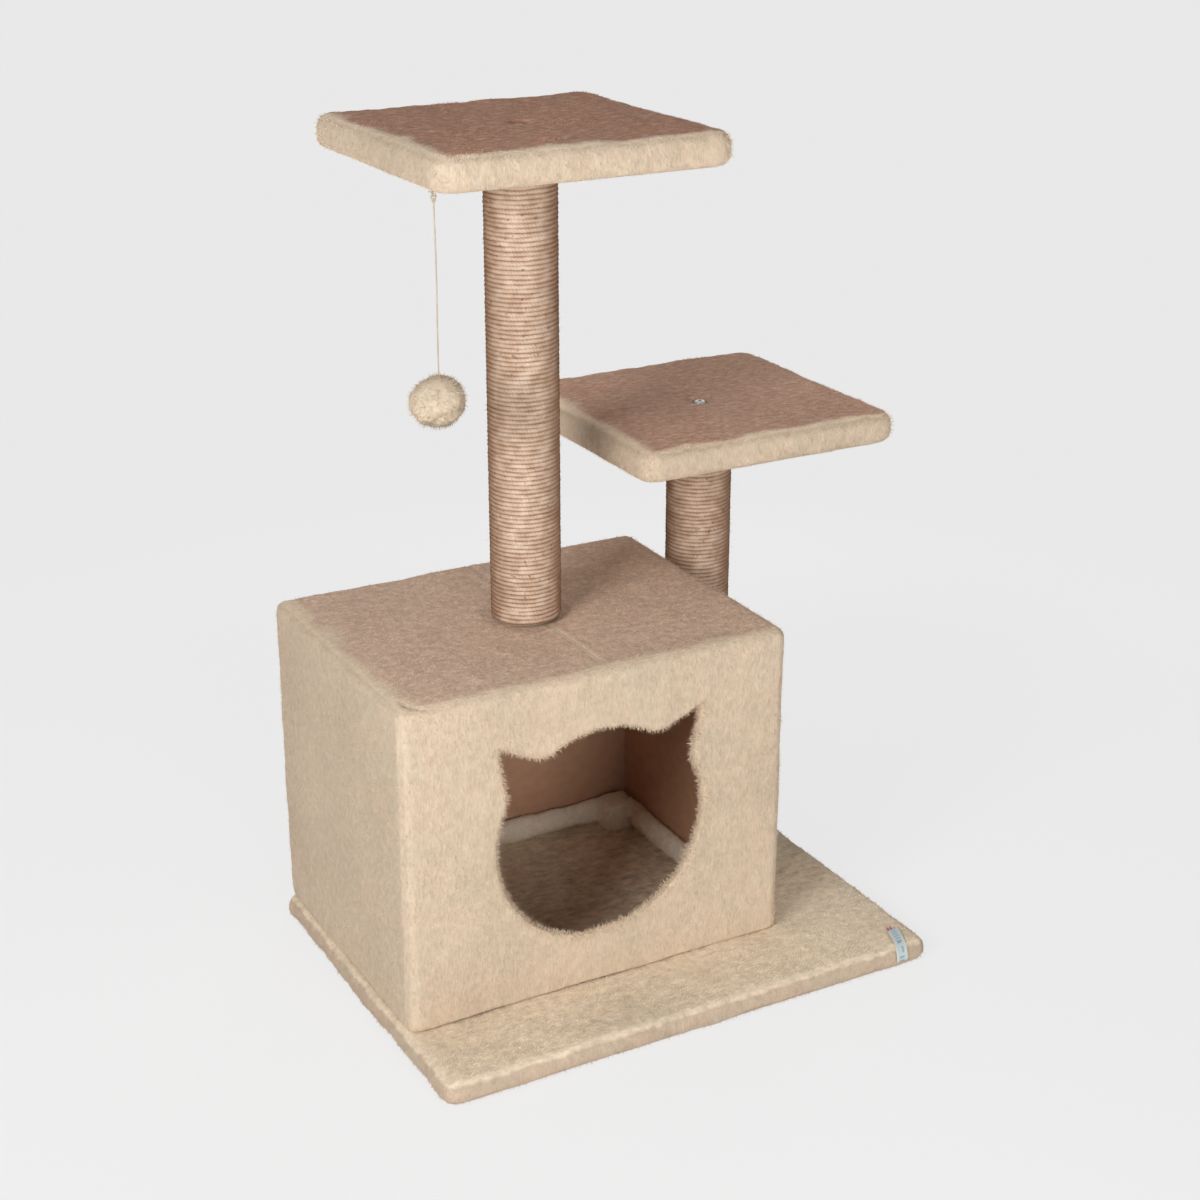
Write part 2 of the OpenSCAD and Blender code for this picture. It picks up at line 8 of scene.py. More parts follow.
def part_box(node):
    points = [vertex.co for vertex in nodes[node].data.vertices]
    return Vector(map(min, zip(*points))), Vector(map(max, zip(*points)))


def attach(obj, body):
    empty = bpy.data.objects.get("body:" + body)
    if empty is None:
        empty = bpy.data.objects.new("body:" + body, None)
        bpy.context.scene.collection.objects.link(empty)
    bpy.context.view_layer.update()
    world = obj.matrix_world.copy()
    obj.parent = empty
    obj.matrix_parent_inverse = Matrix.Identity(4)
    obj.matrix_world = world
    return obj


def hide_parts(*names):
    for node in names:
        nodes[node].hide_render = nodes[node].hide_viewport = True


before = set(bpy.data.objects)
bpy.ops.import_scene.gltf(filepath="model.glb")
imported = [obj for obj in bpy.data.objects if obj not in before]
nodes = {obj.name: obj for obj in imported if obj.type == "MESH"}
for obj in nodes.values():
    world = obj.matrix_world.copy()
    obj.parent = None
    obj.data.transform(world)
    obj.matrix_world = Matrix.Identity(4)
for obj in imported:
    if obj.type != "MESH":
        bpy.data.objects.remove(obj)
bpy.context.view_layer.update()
scene = bpy.context.scene
mm = 0.001
turnRound = 2 * math.pi

cameraSettings = {
    "place": (-1.02661, -1.86064, 1.27701),
    "yaw": 28.88,  # degrees from +Y towards +X
    "pitch": 21.93,  # degrees down
    "lens": 62.774,
}


def linkPiece(name, data):
    piece = bpy.data.objects.new(name, data)
    scene.collection.objects.link(piece)
    return piece


def placeCamera(settings):
    lens = bpy.data.cameras.new("viewCamera")
    lens.sensor_width = 36
    lens.lens = settings["lens"]
    lens.clip_start = 0.05
    lens.clip_end = 60
    camera = linkPiece("viewCamera", lens)
    camera.location = settings["place"]
    camera.rotation_euler = (
        math.radians(90 - settings["pitch"]), 0, math.radians(-settings["yaw"]))
    scene.camera = camera


placeCamera(cameraSettings)


def pieceFrom(name, form):
    mesh = bpy.data.meshes.new(name)
    form.to_mesh(mesh)
    form.free()
    return linkPiece(name, mesh)


# A curve's object turns into a new piece; a mesh keeps its object
def applyModifiers(piece):
    graph = bpy.context.evaluated_depsgraph_get()
    old = piece.data
    mesh = bpy.data.meshes.new_from_object(
        piece.evaluated_get(graph), preserve_all_data_layers=True, depsgraph=graph)
    mesh.name = piece.name
    if piece.type == "MESH":
        piece.modifiers.clear()
        piece.data = mesh
        bpy.data.meshes.remove(old)
        return piece
    name = piece.name
    bpy.data.objects.remove(piece)
    return linkPiece(name, mesh)


def dropPiece(piece):
    mesh = piece.data
    bpy.data.objects.remove(piece)
    bpy.data.meshes.remove(mesh)


def smoothStep(low, high, value):
    t = min(1, max(0, (value - low) / (high - low)))
    return t * t * (3 - 2 * t)


# 1 in the middle of a line or spot, fading to 0 over a few widths
def bell(distance, width):
    return math.exp(-(distance / width) ** 2)


def centreOf(node):
    low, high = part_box(node)
    return (low + high) / 2


# A box from its corners; uprightRound rounds its upright edges, then topRound and footRound the level ones
def boxForm(low, high, uprightRound=0, topRound=0, footRound=0, segments=5):
    form = bmesh.new()
    bmesh.ops.create_cube(form, size=1)
    size = Vector(high) - Vector(low)
    bmesh.ops.scale(form, vec=size, verts=form.verts)
    bmesh.ops.translate(form, vec=(Vector(high) + Vector(low)) / 2, verts=form.verts)

    def roundOff(edges, amount):
        bmesh.ops.bevel(form, geom=edges, offset=amount, segments=segments,
                        affect="EDGES", profile=0.5, material=-1)

    if uprightRound:
        roundOff([e for e in form.edges if abs(e.verts[0].co.z - e.verts[1].co.z) > size.z / 2],
                 uprightRound)
    for level, amount in ((high[2], topRound), (low[2], footRound)):
        if amount:
            roundOff([e for e in form.edges if all(abs(v.co.z - level) < 1e-6 for v in e.verts)], amount)
    return form


def boxPiece(name, low, high, **rounding):
    return pieceFrom(name, boxForm(low, high, **rounding))


def cylinderPiece(name, place, radius, height):
    form = bmesh.new()
    bmesh.ops.create_cone(form, cap_ends=True, segments=32, radius1=radius, radius2=radius,
                          depth=height, matrix=Matrix.Translation(place))
    return pieceFrom(name, form)


def joinWith(piece, other, how="DIFFERENCE"):
    cut = piece.modifiers.new("cut", "BOOLEAN")
    cut.operation = how
    cut.solver = "MANIFOLD"
    cut.object = other
    applyModifiers(piece)
    dropPiece(other)


def softenShape(piece, settings):
    remesh = piece.modifiers.new("felt", "REMESH")
    remesh.mode = "VOXEL"
    remesh.voxel_size = settings["voxel"]
    relax = piece.modifiers.new("relax", "SMOOTH")
    relax.factor = 0.5
    relax.iterations = settings["relax"]
    applyModifiers(piece)


def shadeRound(piece, angle=50):
    piece.data.polygons.foreach_set("use_smooth", [True] * len(piece.data.polygons))
    piece.data.set_sharp_from_angle(angle=math.radians(angle))
    return piece


# change(place, normal) gives the new place of one point
def reshape(piece, change):
    moved = []
    for vertex in piece.data.vertices:
        moved.extend(change(vertex.co.copy(), vertex.normal))
    piece.data.vertices.foreach_set("co", moved)
    piece.data.update()


# Swells and dents a soft skin along its normals. Each wave is (size of a wave, height, seed)
def ruffle(piece, waves, weight=None):
    def swell(place, normal):
        rise = sum(height * noise.noise(place / size + Vector((seed, 0.37 * seed, 1.7)))
                   for size, height, seed in waves)
        return place + normal * (rise * weight(place, normal) if weight else rise)

    reshape(piece, swell)


# One value for each point: numbers or vectors
def storeValues(piece, **layers):
    for name, values in layers.items():
        if isinstance(values[0], (int, float)):
            layer = piece.data.attributes.new(name, "FLOAT", "POINT")
            layer.data.foreach_set("value", values)
        else:
            layer = piece.data.attributes.new(name, "FLOAT_VECTOR", "POINT")
            layer.data.foreach_set("vector", [part for value in values for part in value])


# 0 in the middle of a face, 1 on a rounded edge
def edgeAt(normal):
    return smoothStep(0.97, 0.8, max(abs(normal.x), abs(normal.y), abs(normal.z)))


def addNode(tree, kind, inputs=None, **settings):
    node = tree.nodes.new(kind)
    for key, value in settings.items():
        setattr(node, key, value)
    for key, value in (inputs or {}).items():
        if isinstance(value, bpy.types.NodeSocket):
            tree.links.new(value, node.inputs[key])
        else:
            node.inputs[key].default_value = value
    return node


# Each socket is its kind and, where it needs one, its default value
def startGroup(name, kind, inputs, outputs):
    group = bpy.data.node_groups.new(name, kind)
    for way, sockets in (("INPUT", inputs), ("OUTPUT", outputs)):
        for label, (socketType, *value) in sockets.items():
            socket = group.interface.new_socket(label, in_out=way, socket_type="NodeSocket" + socketType)
            if value:
                socket.default_value = value[0]
    return group, group.nodes.new("NodeGroupInput").outputs, group.nodes.new("NodeGroupOutput").inputs


def mathNode(tree, operation, *values, clamp=False):
    return addNode(tree, "ShaderNodeMath", dict(enumerate(values)),
                   operation=operation, use_clamp=clamp).outputs[0]


def plus(tree, first, *others):
    for other in others:
        first = mathNode(tree, "ADD", first, other)
    return first


def times(tree, first, *others):
    for other in others:
        first = mathNode(tree, "MULTIPLY", first, other)
    return first


def vectorNode(tree, operation, first, second):
    return addNode(tree, "ShaderNodeVectorMath",
                   {0: first, "Scale" if operation == "SCALE" else 1: second},
                   operation=operation).outputs[0]


def combine(tree, x=0, y=0, z=0):
    return addNode(tree, "ShaderNodeCombineXYZ", {0: x, 1: y, 2: z}).outputs[0]


def separate(tree, vector):
    return addNode(tree, "ShaderNodeSeparateXYZ", {0: vector}).outputs


def spanNode(tree, value, low, high, toLow=0, toHigh=1, shape="LINEAR"):
    return addNode(tree, "ShaderNodeMapRange", {0: value, 1: low, 2: high, 3: toLow, 4: toHigh},
                   interpolation_type=shape).outputs[0]


def mixValues(tree, share, first, second):
    return addNode(tree, "ShaderNodeMix", {0: share, 2: first, 3: second}).outputs[0]


def mixTones(tree, share, first, second):
    return addNode(tree, "ShaderNodeMix", {0: share, 6: first, 7: second}, data_type="RGBA").outputs[2]


def cloudNode(tree, vector, scale, detail=2):
    return addNode(tree, "ShaderNodeTexNoise",
                   {"Vector": vector, "Scale": scale, "Detail": detail}).outputs["Fac"]


# Pile is short tufts over a soft skin. The skin carries thick (how many tufts), long (their length),
# nap (the way they lie), lie (0 on a side, 1 on a top; a top's tone is partly its nap lying flat and partly
# painted shade for the weaker light on a top), deep (painted shade and shadow: 1 in a crease, under cover,
# in a cast shadow or turned from the light) and up (1 where it faces up). The tufts add tip, 0 at the root
# and 1 at the point
def makeTuftGroup():
    group, start, end = startGroup("pileTufts", "GeometryNodeTree", {
        "Geometry": ("Geometry",), "Density": ("Float", 60000), "Length": ("Float", 0.006),
        "Width": ("Float", 0.0008), "Spread": ("Float", 0.5), "Bend": ("Float", 0.25),
        "Joints": ("Int", 1), "Seed": ("Int", 1)}, {"Geometry": ("Geometry",)})

    def named(name, kind="FLOAT"):
        return addNode(group, "GeometryNodeInputNamedAttribute", {"Name": name},
                       data_type=kind).outputs["Attribute"]

    def chance(low, high, shift, kind="FLOAT"):
        node = addNode(group, "FunctionNodeRandomValue", {"Seed": plus(group, start["Seed"], shift)},
                       data_type=kind)
        lowest, highest = [s for s in node.inputs if s.name in ("Min", "Max") and s.enabled]
        lowest.default_value, highest.default_value = low, high
        return [s for s in node.outputs if s.enabled][0]

    scatter = addNode(group, "GeometryNodeDistributePointsOnFaces", {
        "Mesh": start["Geometry"], "Density": times(group, start["Density"], named("thick")),
        "Seed": start["Seed"]}, distribute_method="RANDOM")
    normal = scatter.outputs["Normal"]
    roots = addNode(group, "GeometryNodeSetPosition", {
        "Geometry": scatter.outputs["Points"],
        "Offset": vectorNode(group, "SCALE", normal, -0.0005)}).outputs[0]
    jitter = vectorNode(group, "SCALE", chance((-1, -1, -1), (1, 1, 1), 3, "FLOAT_VECTOR"),
                        start["Spread"])
    combed = vectorNode(group, "ADD", normal, named("nap", "FLOAT_VECTOR"))
    turn = addNode(group, "FunctionNodeAlignRotationToVector",
                   {"Vector": vectorNode(group, "ADD", combed, jitter)}, axis="Z").outputs[0]
    spin = addNode(group, "FunctionNodeRotateRotation",
                   {0: turn, 1: combine(group, z=chance(0, 6.283, 5))}, rotation_space="LOCAL").outputs[0]
    cone = addNode(group, "GeometryNodeMeshCone",
                   {"Vertices": 3, "Side Segments": start["Joints"], "Radius Top": 0,
                    "Radius Bottom": 0.5, "Depth": 1}, fill_type="NGON").outputs["Mesh"]
    height = separate(group, group.nodes.new("GeometryNodeInputPosition").outputs[0])["Z"]
    tipped = addNode(group, "GeometryNodeStoreNamedAttribute",
                     {"Geometry": cone, "Name": "tip", "Value": height},
                     data_type="FLOAT", domain="POINT").outputs[0]
    lean = times(group, height, height, start["Bend"])
    bent = addNode(group, "GeometryNodeSetPosition",
                   {"Geometry": tipped, "Offset": combine(group, lean)}).outputs[0]
    reach = times(group, start["Length"], named("long"), chance(0.55, 1.35, 7))
    planted = addNode(group, "GeometryNodeInstanceOnPoints", {
        "Points": roots, "Instance": bent, "Rotation": spin,
        "Scale": combine(group, start["Width"], start["Width"], reach)}).outputs[0]
    tufts = addNode(group, "GeometryNodeRealizeInstances", {"Geometry": planted}).outputs[0]
    both = group.nodes.new("GeometryNodeJoinGeometry")
    group.links.new(tufts, both.inputs[0])
    group.links.new(start["Geometry"], both.inputs[0])
    group.links.new(both.outputs[0], end[0])
    return group


tuftGroup = makeTuftGroup()


# How far the side's pile spills over a top: 1 on the rim at the front and the left, 0 away from it.
# spill holds the reach of each rim and the length of the waves in them
def spillAt(place, low, spill, seed):
    front, left, bay = spill
    wander = 1 + 0.75 * noise.noise(Vector((place.x / bay, place.y / bay, seed)))
    return max(smoothStep(1.1 * front * wander, 0.05 * front * wander, place.y - low.y),
               smoothStep(1.2 * left * wander, 0, place.x - low.x))


# rule(place, normal) gives thick, long, nap, lie and deep for one point of the skin
def combPile(piece, rule):
    points = piece.data.vertices
    columns = zip(*[rule(point.co, point.normal) for point in points])
    storeValues(piece, **dict(zip(("thick", "long", "nap", "lie", "deep"), columns)),
                up=[smoothStep(0.8, 0.98, point.normal.z) for point in points])


def plantPile(piece, settings):
    tufts = piece.modifiers.new("pile", "NODES")
    tufts.node_group = tuftGroup
    for socket in tuftGroup.interface.items_tree:
        if socket.in_out == "INPUT" and socket.name in settings:
            tufts[socket.identifier] = settings[socket.name]
    applyModifiers(piece)
    shadeRound(piece)


# Colour and height of pile: side and top tones (the top's partly painted shade), painted light and shade,
# mottling, clumps and fine streaks along the nap
def makePileShade():
    group, start, end = startGroup("pileShade", "ShaderNodeTree", {
        "Coords": ("Vector",), "Side": ("Color",), "Top": ("Color",), "Blush": ("Color",),
        **{name: ("Float",) for name in ("Lie", "Tip", "Deep", "Up", "Rise", "Fleck", "Clump",
                                         "Pale", "Streaky")}},
        {"Color": ("Color",), "Height": ("Float",)})
    coords, lie, deep = start["Coords"], start["Lie"], start["Deep"]

    def cloud(size, detail=2, stretch=None):
        place = coords
        if stretch:
            place = addNode(group, "ShaderNodeMapping", {"Vector": coords, "Scale": stretch}).outputs[0]
        return cloudNode(group, place, 1 / size, detail)

    def swing(value, amount):
        return times(group, mathNode(group, "SUBTRACT", value, 0.5), amount)

    broad, patches, clumps, grains = cloud(0.16), cloud(0.035), cloud(0.009, 3), cloud(0.0036, 4)
    streaks = mixValues(group, lie, cloud(0.0022, 3, (1, 1, 0.3)), cloud(0.0030, 3, (0.22, 1, 1)))
    mixed = mixValues(group, start["Streaky"], grains, streaks)
    flow = mixValues(group, lie, streaks, mixed)
    shaken = plus(group, lie, swing(clumps, 0.6), swing(flow, -0.9))
    edge = spanNode(group, shaken, 0.28, 0.86, shape="SMOOTHSTEP")
    blushed = mixTones(group, spanNode(group, patches, 0.4, 0.6), start["Side"], start["Blush"])
    # painted light: where the skin faces up, the side's tone is made brighter by Rise
    lift = plus(group, times(group, start["Up"], start["Rise"]), 1)
    blushed = vectorNode(group, "SCALE", blushed, lift)
    # a top takes the Top tone: partly the nap lying flat, partly painted shade
    body = mixTones(group, edge, blushed, start["Top"])
    flecks = spanNode(group, mixed, 0.5, 0.68)
    body = mixTones(group, times(group, flecks, start["Pale"]), body, blushed)
    lively = plus(group, 1, times(group, lie, 0.8))
    grain = plus(group, swing(flow, start["Fleck"]), swing(clumps, start["Clump"]))
    # Tip paints the tufts' points lighter than their roots: painted shade down in the pile
    tone = plus(group, times(group, grain, lively), swing(broad, 0.26), swing(patches, 0.12),
                times(group, start["Tip"], 0.2), 0.93)
    # deep is painted shade: rumples show only where it is set, and it darkens the pile below
    inShade = mathNode(group, "MULTIPLY", deep, 8, clamp=True)
    rumples = swing(cloud(0.0075, 4, (0.45, 1, 1)), 1.0)
    tone = plus(group, tone, times(group, rumples, inShade))
    tone = times(group, tone, mathNode(group, "SUBTRACT", 1, times(group, deep, 0.7)))
    # darker pile turns a little redder
    warmth = combine(group, mathNode(group, "POWER", tone, 0.95), tone,
                     mathNode(group, "POWER", tone, 1.08))
    group.links.new(vectorNode(group, "MULTIPLY", body, warmth), end["Color"])
    group.links.new(plus(group, times(group, streaks, 0.5), clumps), end["Height"])
    return group


pileShade = makePileShade()


def startMaterial(name, roughness, **settings):
    material = bpy.data.materials.new(name)
    material.use_nodes = True
    tree = material.node_tree
    shader = tree.nodes["Principled BSDF"]
    shader.inputs["Roughness"].default_value = roughness
    for key, value in settings.items():
        shader.inputs[key].default_value = value
    return material, tree, shader, tree.nodes.new("ShaderNodeTexCoord").outputs["Object"]


def dressShader(tree, shader, colour, height, distance, strength=1):
    tree.links.new(colour, shader.inputs["Base Color"])
    bump = addNode(tree, "ShaderNodeBump",
                   {"Height": height, "Distance": distance, "Strength": strength})
    tree.links.new(bump.outputs[0], shader.inputs["Normal"])


def readValue(tree, name, output="Fac"):
    return addNode(tree, "ShaderNodeAttribute", attribute_name=name).outputs[output]


def opaque(colour, *shares):
    return (*(part * share for part, share in zip(colour, shares or (1, 1, 1))), 1)


def plushMaterial(name, side, top, blush, relief=0.0012, fleck=0.4, clump=0.3, pale=0, streaky=0.5,
                  rise=0):
    material, tree, shader, coords = startMaterial(name, 0.92, **{
        "Sheen Weight": 0.07, "Sheen Roughness": 0.6, "Specular IOR Level": 0.02})
    pile = addNode(tree, "ShaderNodeGroup", {
        "Coords": coords, "Side": opaque(side), "Top": opaque(top), "Blush": opaque(blush),
        "Fleck": fleck, "Clump": clump, "Pale": pale, "Streaky": streaky, "Rise": rise,
        **{value.capitalize(): readValue(tree, value) for value in ("lie", "tip", "deep", "up")}},
        node_tree=pileShade)
    dressShader(tree, shader, pile.outputs["Color"], pile.outputs["Height"], relief)
    return material


# A top's tone differs from its side's: partly the nap lying flat, partly painted shade or painted light for
# how light falls. The top platform's plush is a darker-shaded copy of the side platform's, and the base's
# top is painted lighter than its side
longPile = {"side": (0.76, 0.615, 0.465), "blush": (0.74, 0.59, 0.44), "relief": 0.0016,
            "fleck": 0.35, "clump": 0.35, "pale": 0.42, "streaky": 0.7, "rise": 0.4}
topPlushDarkShade = plushMaterial("topPlushDarkShade", top=(0.59, 0.31, 0.205), **longPile)
sidePlushLightShade = plushMaterial("sidePlushLightShade", top=(0.71, 0.425, 0.305), **longPile)
housePlush = plushMaterial("housePlush", (0.715, 0.58, 0.43), (0.79, 0.565, 0.425),
                           (0.71, 0.56, 0.415), pale=0.4, streaky=0.25, rise=0.3)
basePlush = plushMaterial("basePlush", (0.62, 0.495, 0.37), (0.88, 0.735, 0.56),
                          (0.64, 0.49, 0.365), rise=0.15)
ballPlush = plushMaterial("ballPlush", (0.70, 0.58, 0.44), (0.72, 0.6, 0.46), (0.68, 0.55, 0.41))
hemPlush = plushMaterial("hemPlush", (0.91, 0.80, 0.65), (0.88, 0.77, 0.62), (0.90, 0.78, 0.63))


# Rope and cord carry along (metres) and around (cosine, sine) from their making. Their strands are
# painted darker where they meet; wound rope also has painted shade between its turns and where it is seen
# edge on
def twistMaterial(name, light, dark, strands, pitch, relief, wound=False):
    material, tree, shader, coords = startMaterial(name, 0.85, **{"Specular IOR Level": 0.02})
    along = readValue(tree, "along")
    around = separate(tree, readValue(tree, "around", "Vector"))
    angle = times(tree, mathNode(tree, "ARCTAN2", around["Y"], around["X"]), strands)
    phase = plus(tree, angle, times(tree, along, turnRound * strands / pitch))
    lobe = mathNode(tree, "ABSOLUTE", mathNode(tree, "SINE", times(tree, phase, 0.5)))
    fibre = cloudNode(tree, combine(tree, times(tree, phase, 1.1), times(tree, along, 160)), 1.6, 4)
    patches = cloudNode(tree, coords, 60)
    drift = cloudNode(tree, combine(tree, along), 45)
    cloudy = plus(tree, fibre, patches, times(tree, drift, 0.9))
    # painted shade between strands: the lobe darkens where they meet
    blend = mathNode(tree, "ADD", times(tree, lobe, 0.22 if wound else 0.45),
                     mathNode(tree, "SUBTRACT", cloudy, 1.0 if wound else 1.2), clamp=True)
    colour = mixTones(tree, blend, opaque(dark), opaque(light))
    if wound:
        # painted shade between the turns
        grooveShade = spanNode(tree, around["X"], 0.47, 0.37, 0, 0.55)
        uneven = spanNode(tree, plus(tree, patches, drift), 0.85, 1.2, 0.8, 0.15)
        shadow = opaque(dark, 0.6, 0.46, 0.36)
        colour = mixTones(tree, times(tree, grooveShade, uneven), colour, shadow)
        # painted shade where the rope is seen edge on
        facing = addNode(tree, "ShaderNodeLayerWeight", {"Blend": 0.55}).outputs["Facing"]
        colour = mixTones(tree, facing, colour, shadow)
    speck = spanNode(tree, cloudNode(tree, coords, 190, 1), 0.68, 0.76, 0, 0.6)
    colour = mixTones(tree, speck, colour, opaque(dark, 0.4, 0.35, 0.3))
    dressShader(tree, shader, colour, plus(tree, lobe, times(tree, fibre, 0.6)), relief)
    return material


sisalRope = twistMaterial("sisalRope", (0.95, 0.745, 0.60), (0.46, 0.285, 0.17), 3, 0.011, 0.0004, True)
cottonCord = twistMaterial("cottonCord", (0.74, 0.63, 0.49), (0.42, 0.32, 0.23), 2, 0.0045, 0.0001)


# Board-like finishes: two tones mixed by a stretched cloud and small chips
def makeBoardShade():
    group, start, end = startGroup("boardShade", "ShaderNodeTree", {
        "Coords": ("Vector",), "Light": ("Color",), "Dark": ("Color",), "Stretch": ("Vector",),
        "Grain": ("Float",), "Chips": ("Float",)}, {"Color": ("Color",), "Height": ("Float",)})
    laid = vectorNode(group, "MULTIPLY", start["Coords"], start["Stretch"])
    chips = addNode(group, "ShaderNodeTexVoronoi",
                    {"Vector": laid, "Scale": start["Grain"]}).outputs["Color"]
    chip = addNode(group, "ShaderNodeSeparateColor", {0: chips}).outputs[0]
    mask = mixValues(group, start["Chips"], cloudNode(group, laid, start["Grain"], 5), chip)
    group.links.new(mixTones(group, mask, start["Dark"], start["Light"]), end["Color"])
    group.links.new(mask, end["Height"])
    return group


boardShade = makeBoardShade()


def boardMaterial(name, light, dark, stretch, grain, chips, roughness):
    material, tree, shader, coords = startMaterial(name, roughness)
    board = addNode(tree, "ShaderNodeGroup", {
        "Coords": coords, "Light": opaque(light), "Dark": opaque(dark), "Stretch": stretch,
        "Grain": grain, "Chips": chips}, node_tree=boardShade)
    dressShader(tree, shader, board.outputs["Color"], board.outputs["Height"], 0.0002, 0.6)
    return material


# light and dark tones, stretch of the grain, its fineness, share of chips and roughness
boardSettings = {
    "chipboard": ((0.62, 0.46, 0.28), (0.33, 0.21, 0.11), (1, 1, 2), 420, 0.6, 0.75),
    "hardboard": ((0.60, 0.34, 0.205), (0.42, 0.235, 0.145), (1, 1, 1.6), 60, 0.08, 0.55),
    "pine": ((0.70, 0.50, 0.29), (0.52, 0.33, 0.16), (1, 1, 0.12), 160, 0.05, 0.6),
    "cardboard": ((0.42, 0.30, 0.20), (0.30, 0.21, 0.13), (0.3, 0.3, 3), 120, 0.1, 0.85),
    "foam": ((0.75, 0.66, 0.40), (0.52, 0.43, 0.22), (1, 1, 1), 600, 0.7, 0.9),
}
boards = {name: boardMaterial(name, *values) for name, values in boardSettings.items()}


def zincMaterial():
    material, tree, shader, coords = startMaterial("zincSteel", 0.35, Metallic=1)
    cloud = cloudNode(tree, coords, 220, 4)
    colour = mixTones(tree, cloud, (0.36, 0.36, 0.34, 1), (0.58, 0.58, 0.56, 1))
    tree.links.new(spanNode(tree, cloud, 0, 1, 0.42, 0.62), shader.inputs["Roughness"])
    dressShader(tree, shader, colour, cloud, 0.00005)
    return material


# Woven ribbon: fine ribs across, a paler selvedge at both sides and short woven dashes between them
def ribbonMaterial(name, body, edge, dash):
    material, tree, shader, coords = startMaterial(name, 0.55, **{"Sheen Weight": 0.2})

    def ribs(scale, distortion, way):
        return addNode(tree, "ShaderNodeTexWave", {
            "Vector": coords, "Scale": scale, "Distortion": distortion},
            bands_direction=way).outputs["Fac"]

    cloud = cloudNode(tree, coords, 160)
    cross = plus(tree, times(tree, ribs(300, 0.4, "Z"), 0.25), times(tree, cloud, 0.6))
    weave = mathNode(tree, "ADD", times(tree, ribs(420, 0.6, "X"), 0.3), cross, clamp=True)
    colour = mixTones(tree, weave, opaque(body), opaque(edge))
    away = mathNode(tree, "ABSOLUTE", readValue(tree, "across"))
    colour = mixTones(tree, spanNode(tree, away, 0.62, 0.95), colour, opaque(edge))
    beat = plus(tree, times(tree, readValue(tree, "along"), 1500), times(tree, cloud, 6))
    dashes = spanNode(tree, mathNode(tree, "SINE", beat), -0.1, 0.4)
    inner = spanNode(tree, away, 0.5, 0.35)
    colour = mixTones(tree, times(tree, dashes, inner), colour, opaque(dash))
    dressShader(tree, shader, colour, weave, 0.0002)
    return material


ribbonCloth = ribbonMaterial("ribbonCloth", (0.46, 0.60, 0.64), (0.70, 0.72, 0.68), (0.27, 0.42, 0.54))
redThread = ribbonMaterial("redThread", (0.45, 0.10, 0.16), (0.62, 0.28, 0.32), (0.42, 0.10, 0.16))


def finishNodes(material, *endings):
    for name, piece in nodes.items():
        if name.endswith(endings):
            piece.data.materials.clear()
            piece.data.materials.append(material)


finishNodes(boards["chipboard"], "_board", "roof_panel")
finishNodes(boards["hardboard"], "_wall")
finishNodes(boards["pine"], "_blocks", "_plug")
finishNodes(boards["cardboard"], "_tube")
finishNodes(boards["foam"], "toy_ball_core")
finishNodes(zincMaterial(), "_staples", "_staple", "_screws", "_inserts", "_bolts", "_washers")


def wear(piece, material, body, slot, *replaced):
    piece.data.materials.clear()
    piece.data.materials.append(material)
    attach(piece, body)
    if replaced:
        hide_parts(*replaced)


# The hanging toy: its cord, loop, knot and ball
toy = {
    # the cord's route down from its knot, in millimetres
    "route": [(0, 0, 0), (0.4, 0, -30), (0.8, 0.2, -60), (0.6, 0.3, -90), (0.2, 0.2, -120),
              (0, 0, -150), (0, 0, -176)],
    "diameter": 0.0016,
    "twist": 0.0042,  # length of one turn of the two yarns
    "ringWire": 0.0008,
    "knotSize": 0.00055,
    "knotPoints": 48,
    "ballWaves": [(0.024, 0.0042, 2.3), (0.010, 0.0012, 5.1), (0.0045, 0.0007, 8.4)],
    "ballTufts": {"Density": 160000, "Length": 0.0047, "Width": 0.0007, "Spread": 0.5,
                  "Bend": 0.3, "Joints": 2, "Seed": 4},
}


def newCurve(name, kind, count):
    line = bpy.data.curves.new(name, "CURVE")
    line.dimensions = "3D"
    spline = line.splines.new(kind)
    points = spline.bezier_points if kind == "BEZIER" else spline.points
    points.add(count - 1)
    return line, spline, points


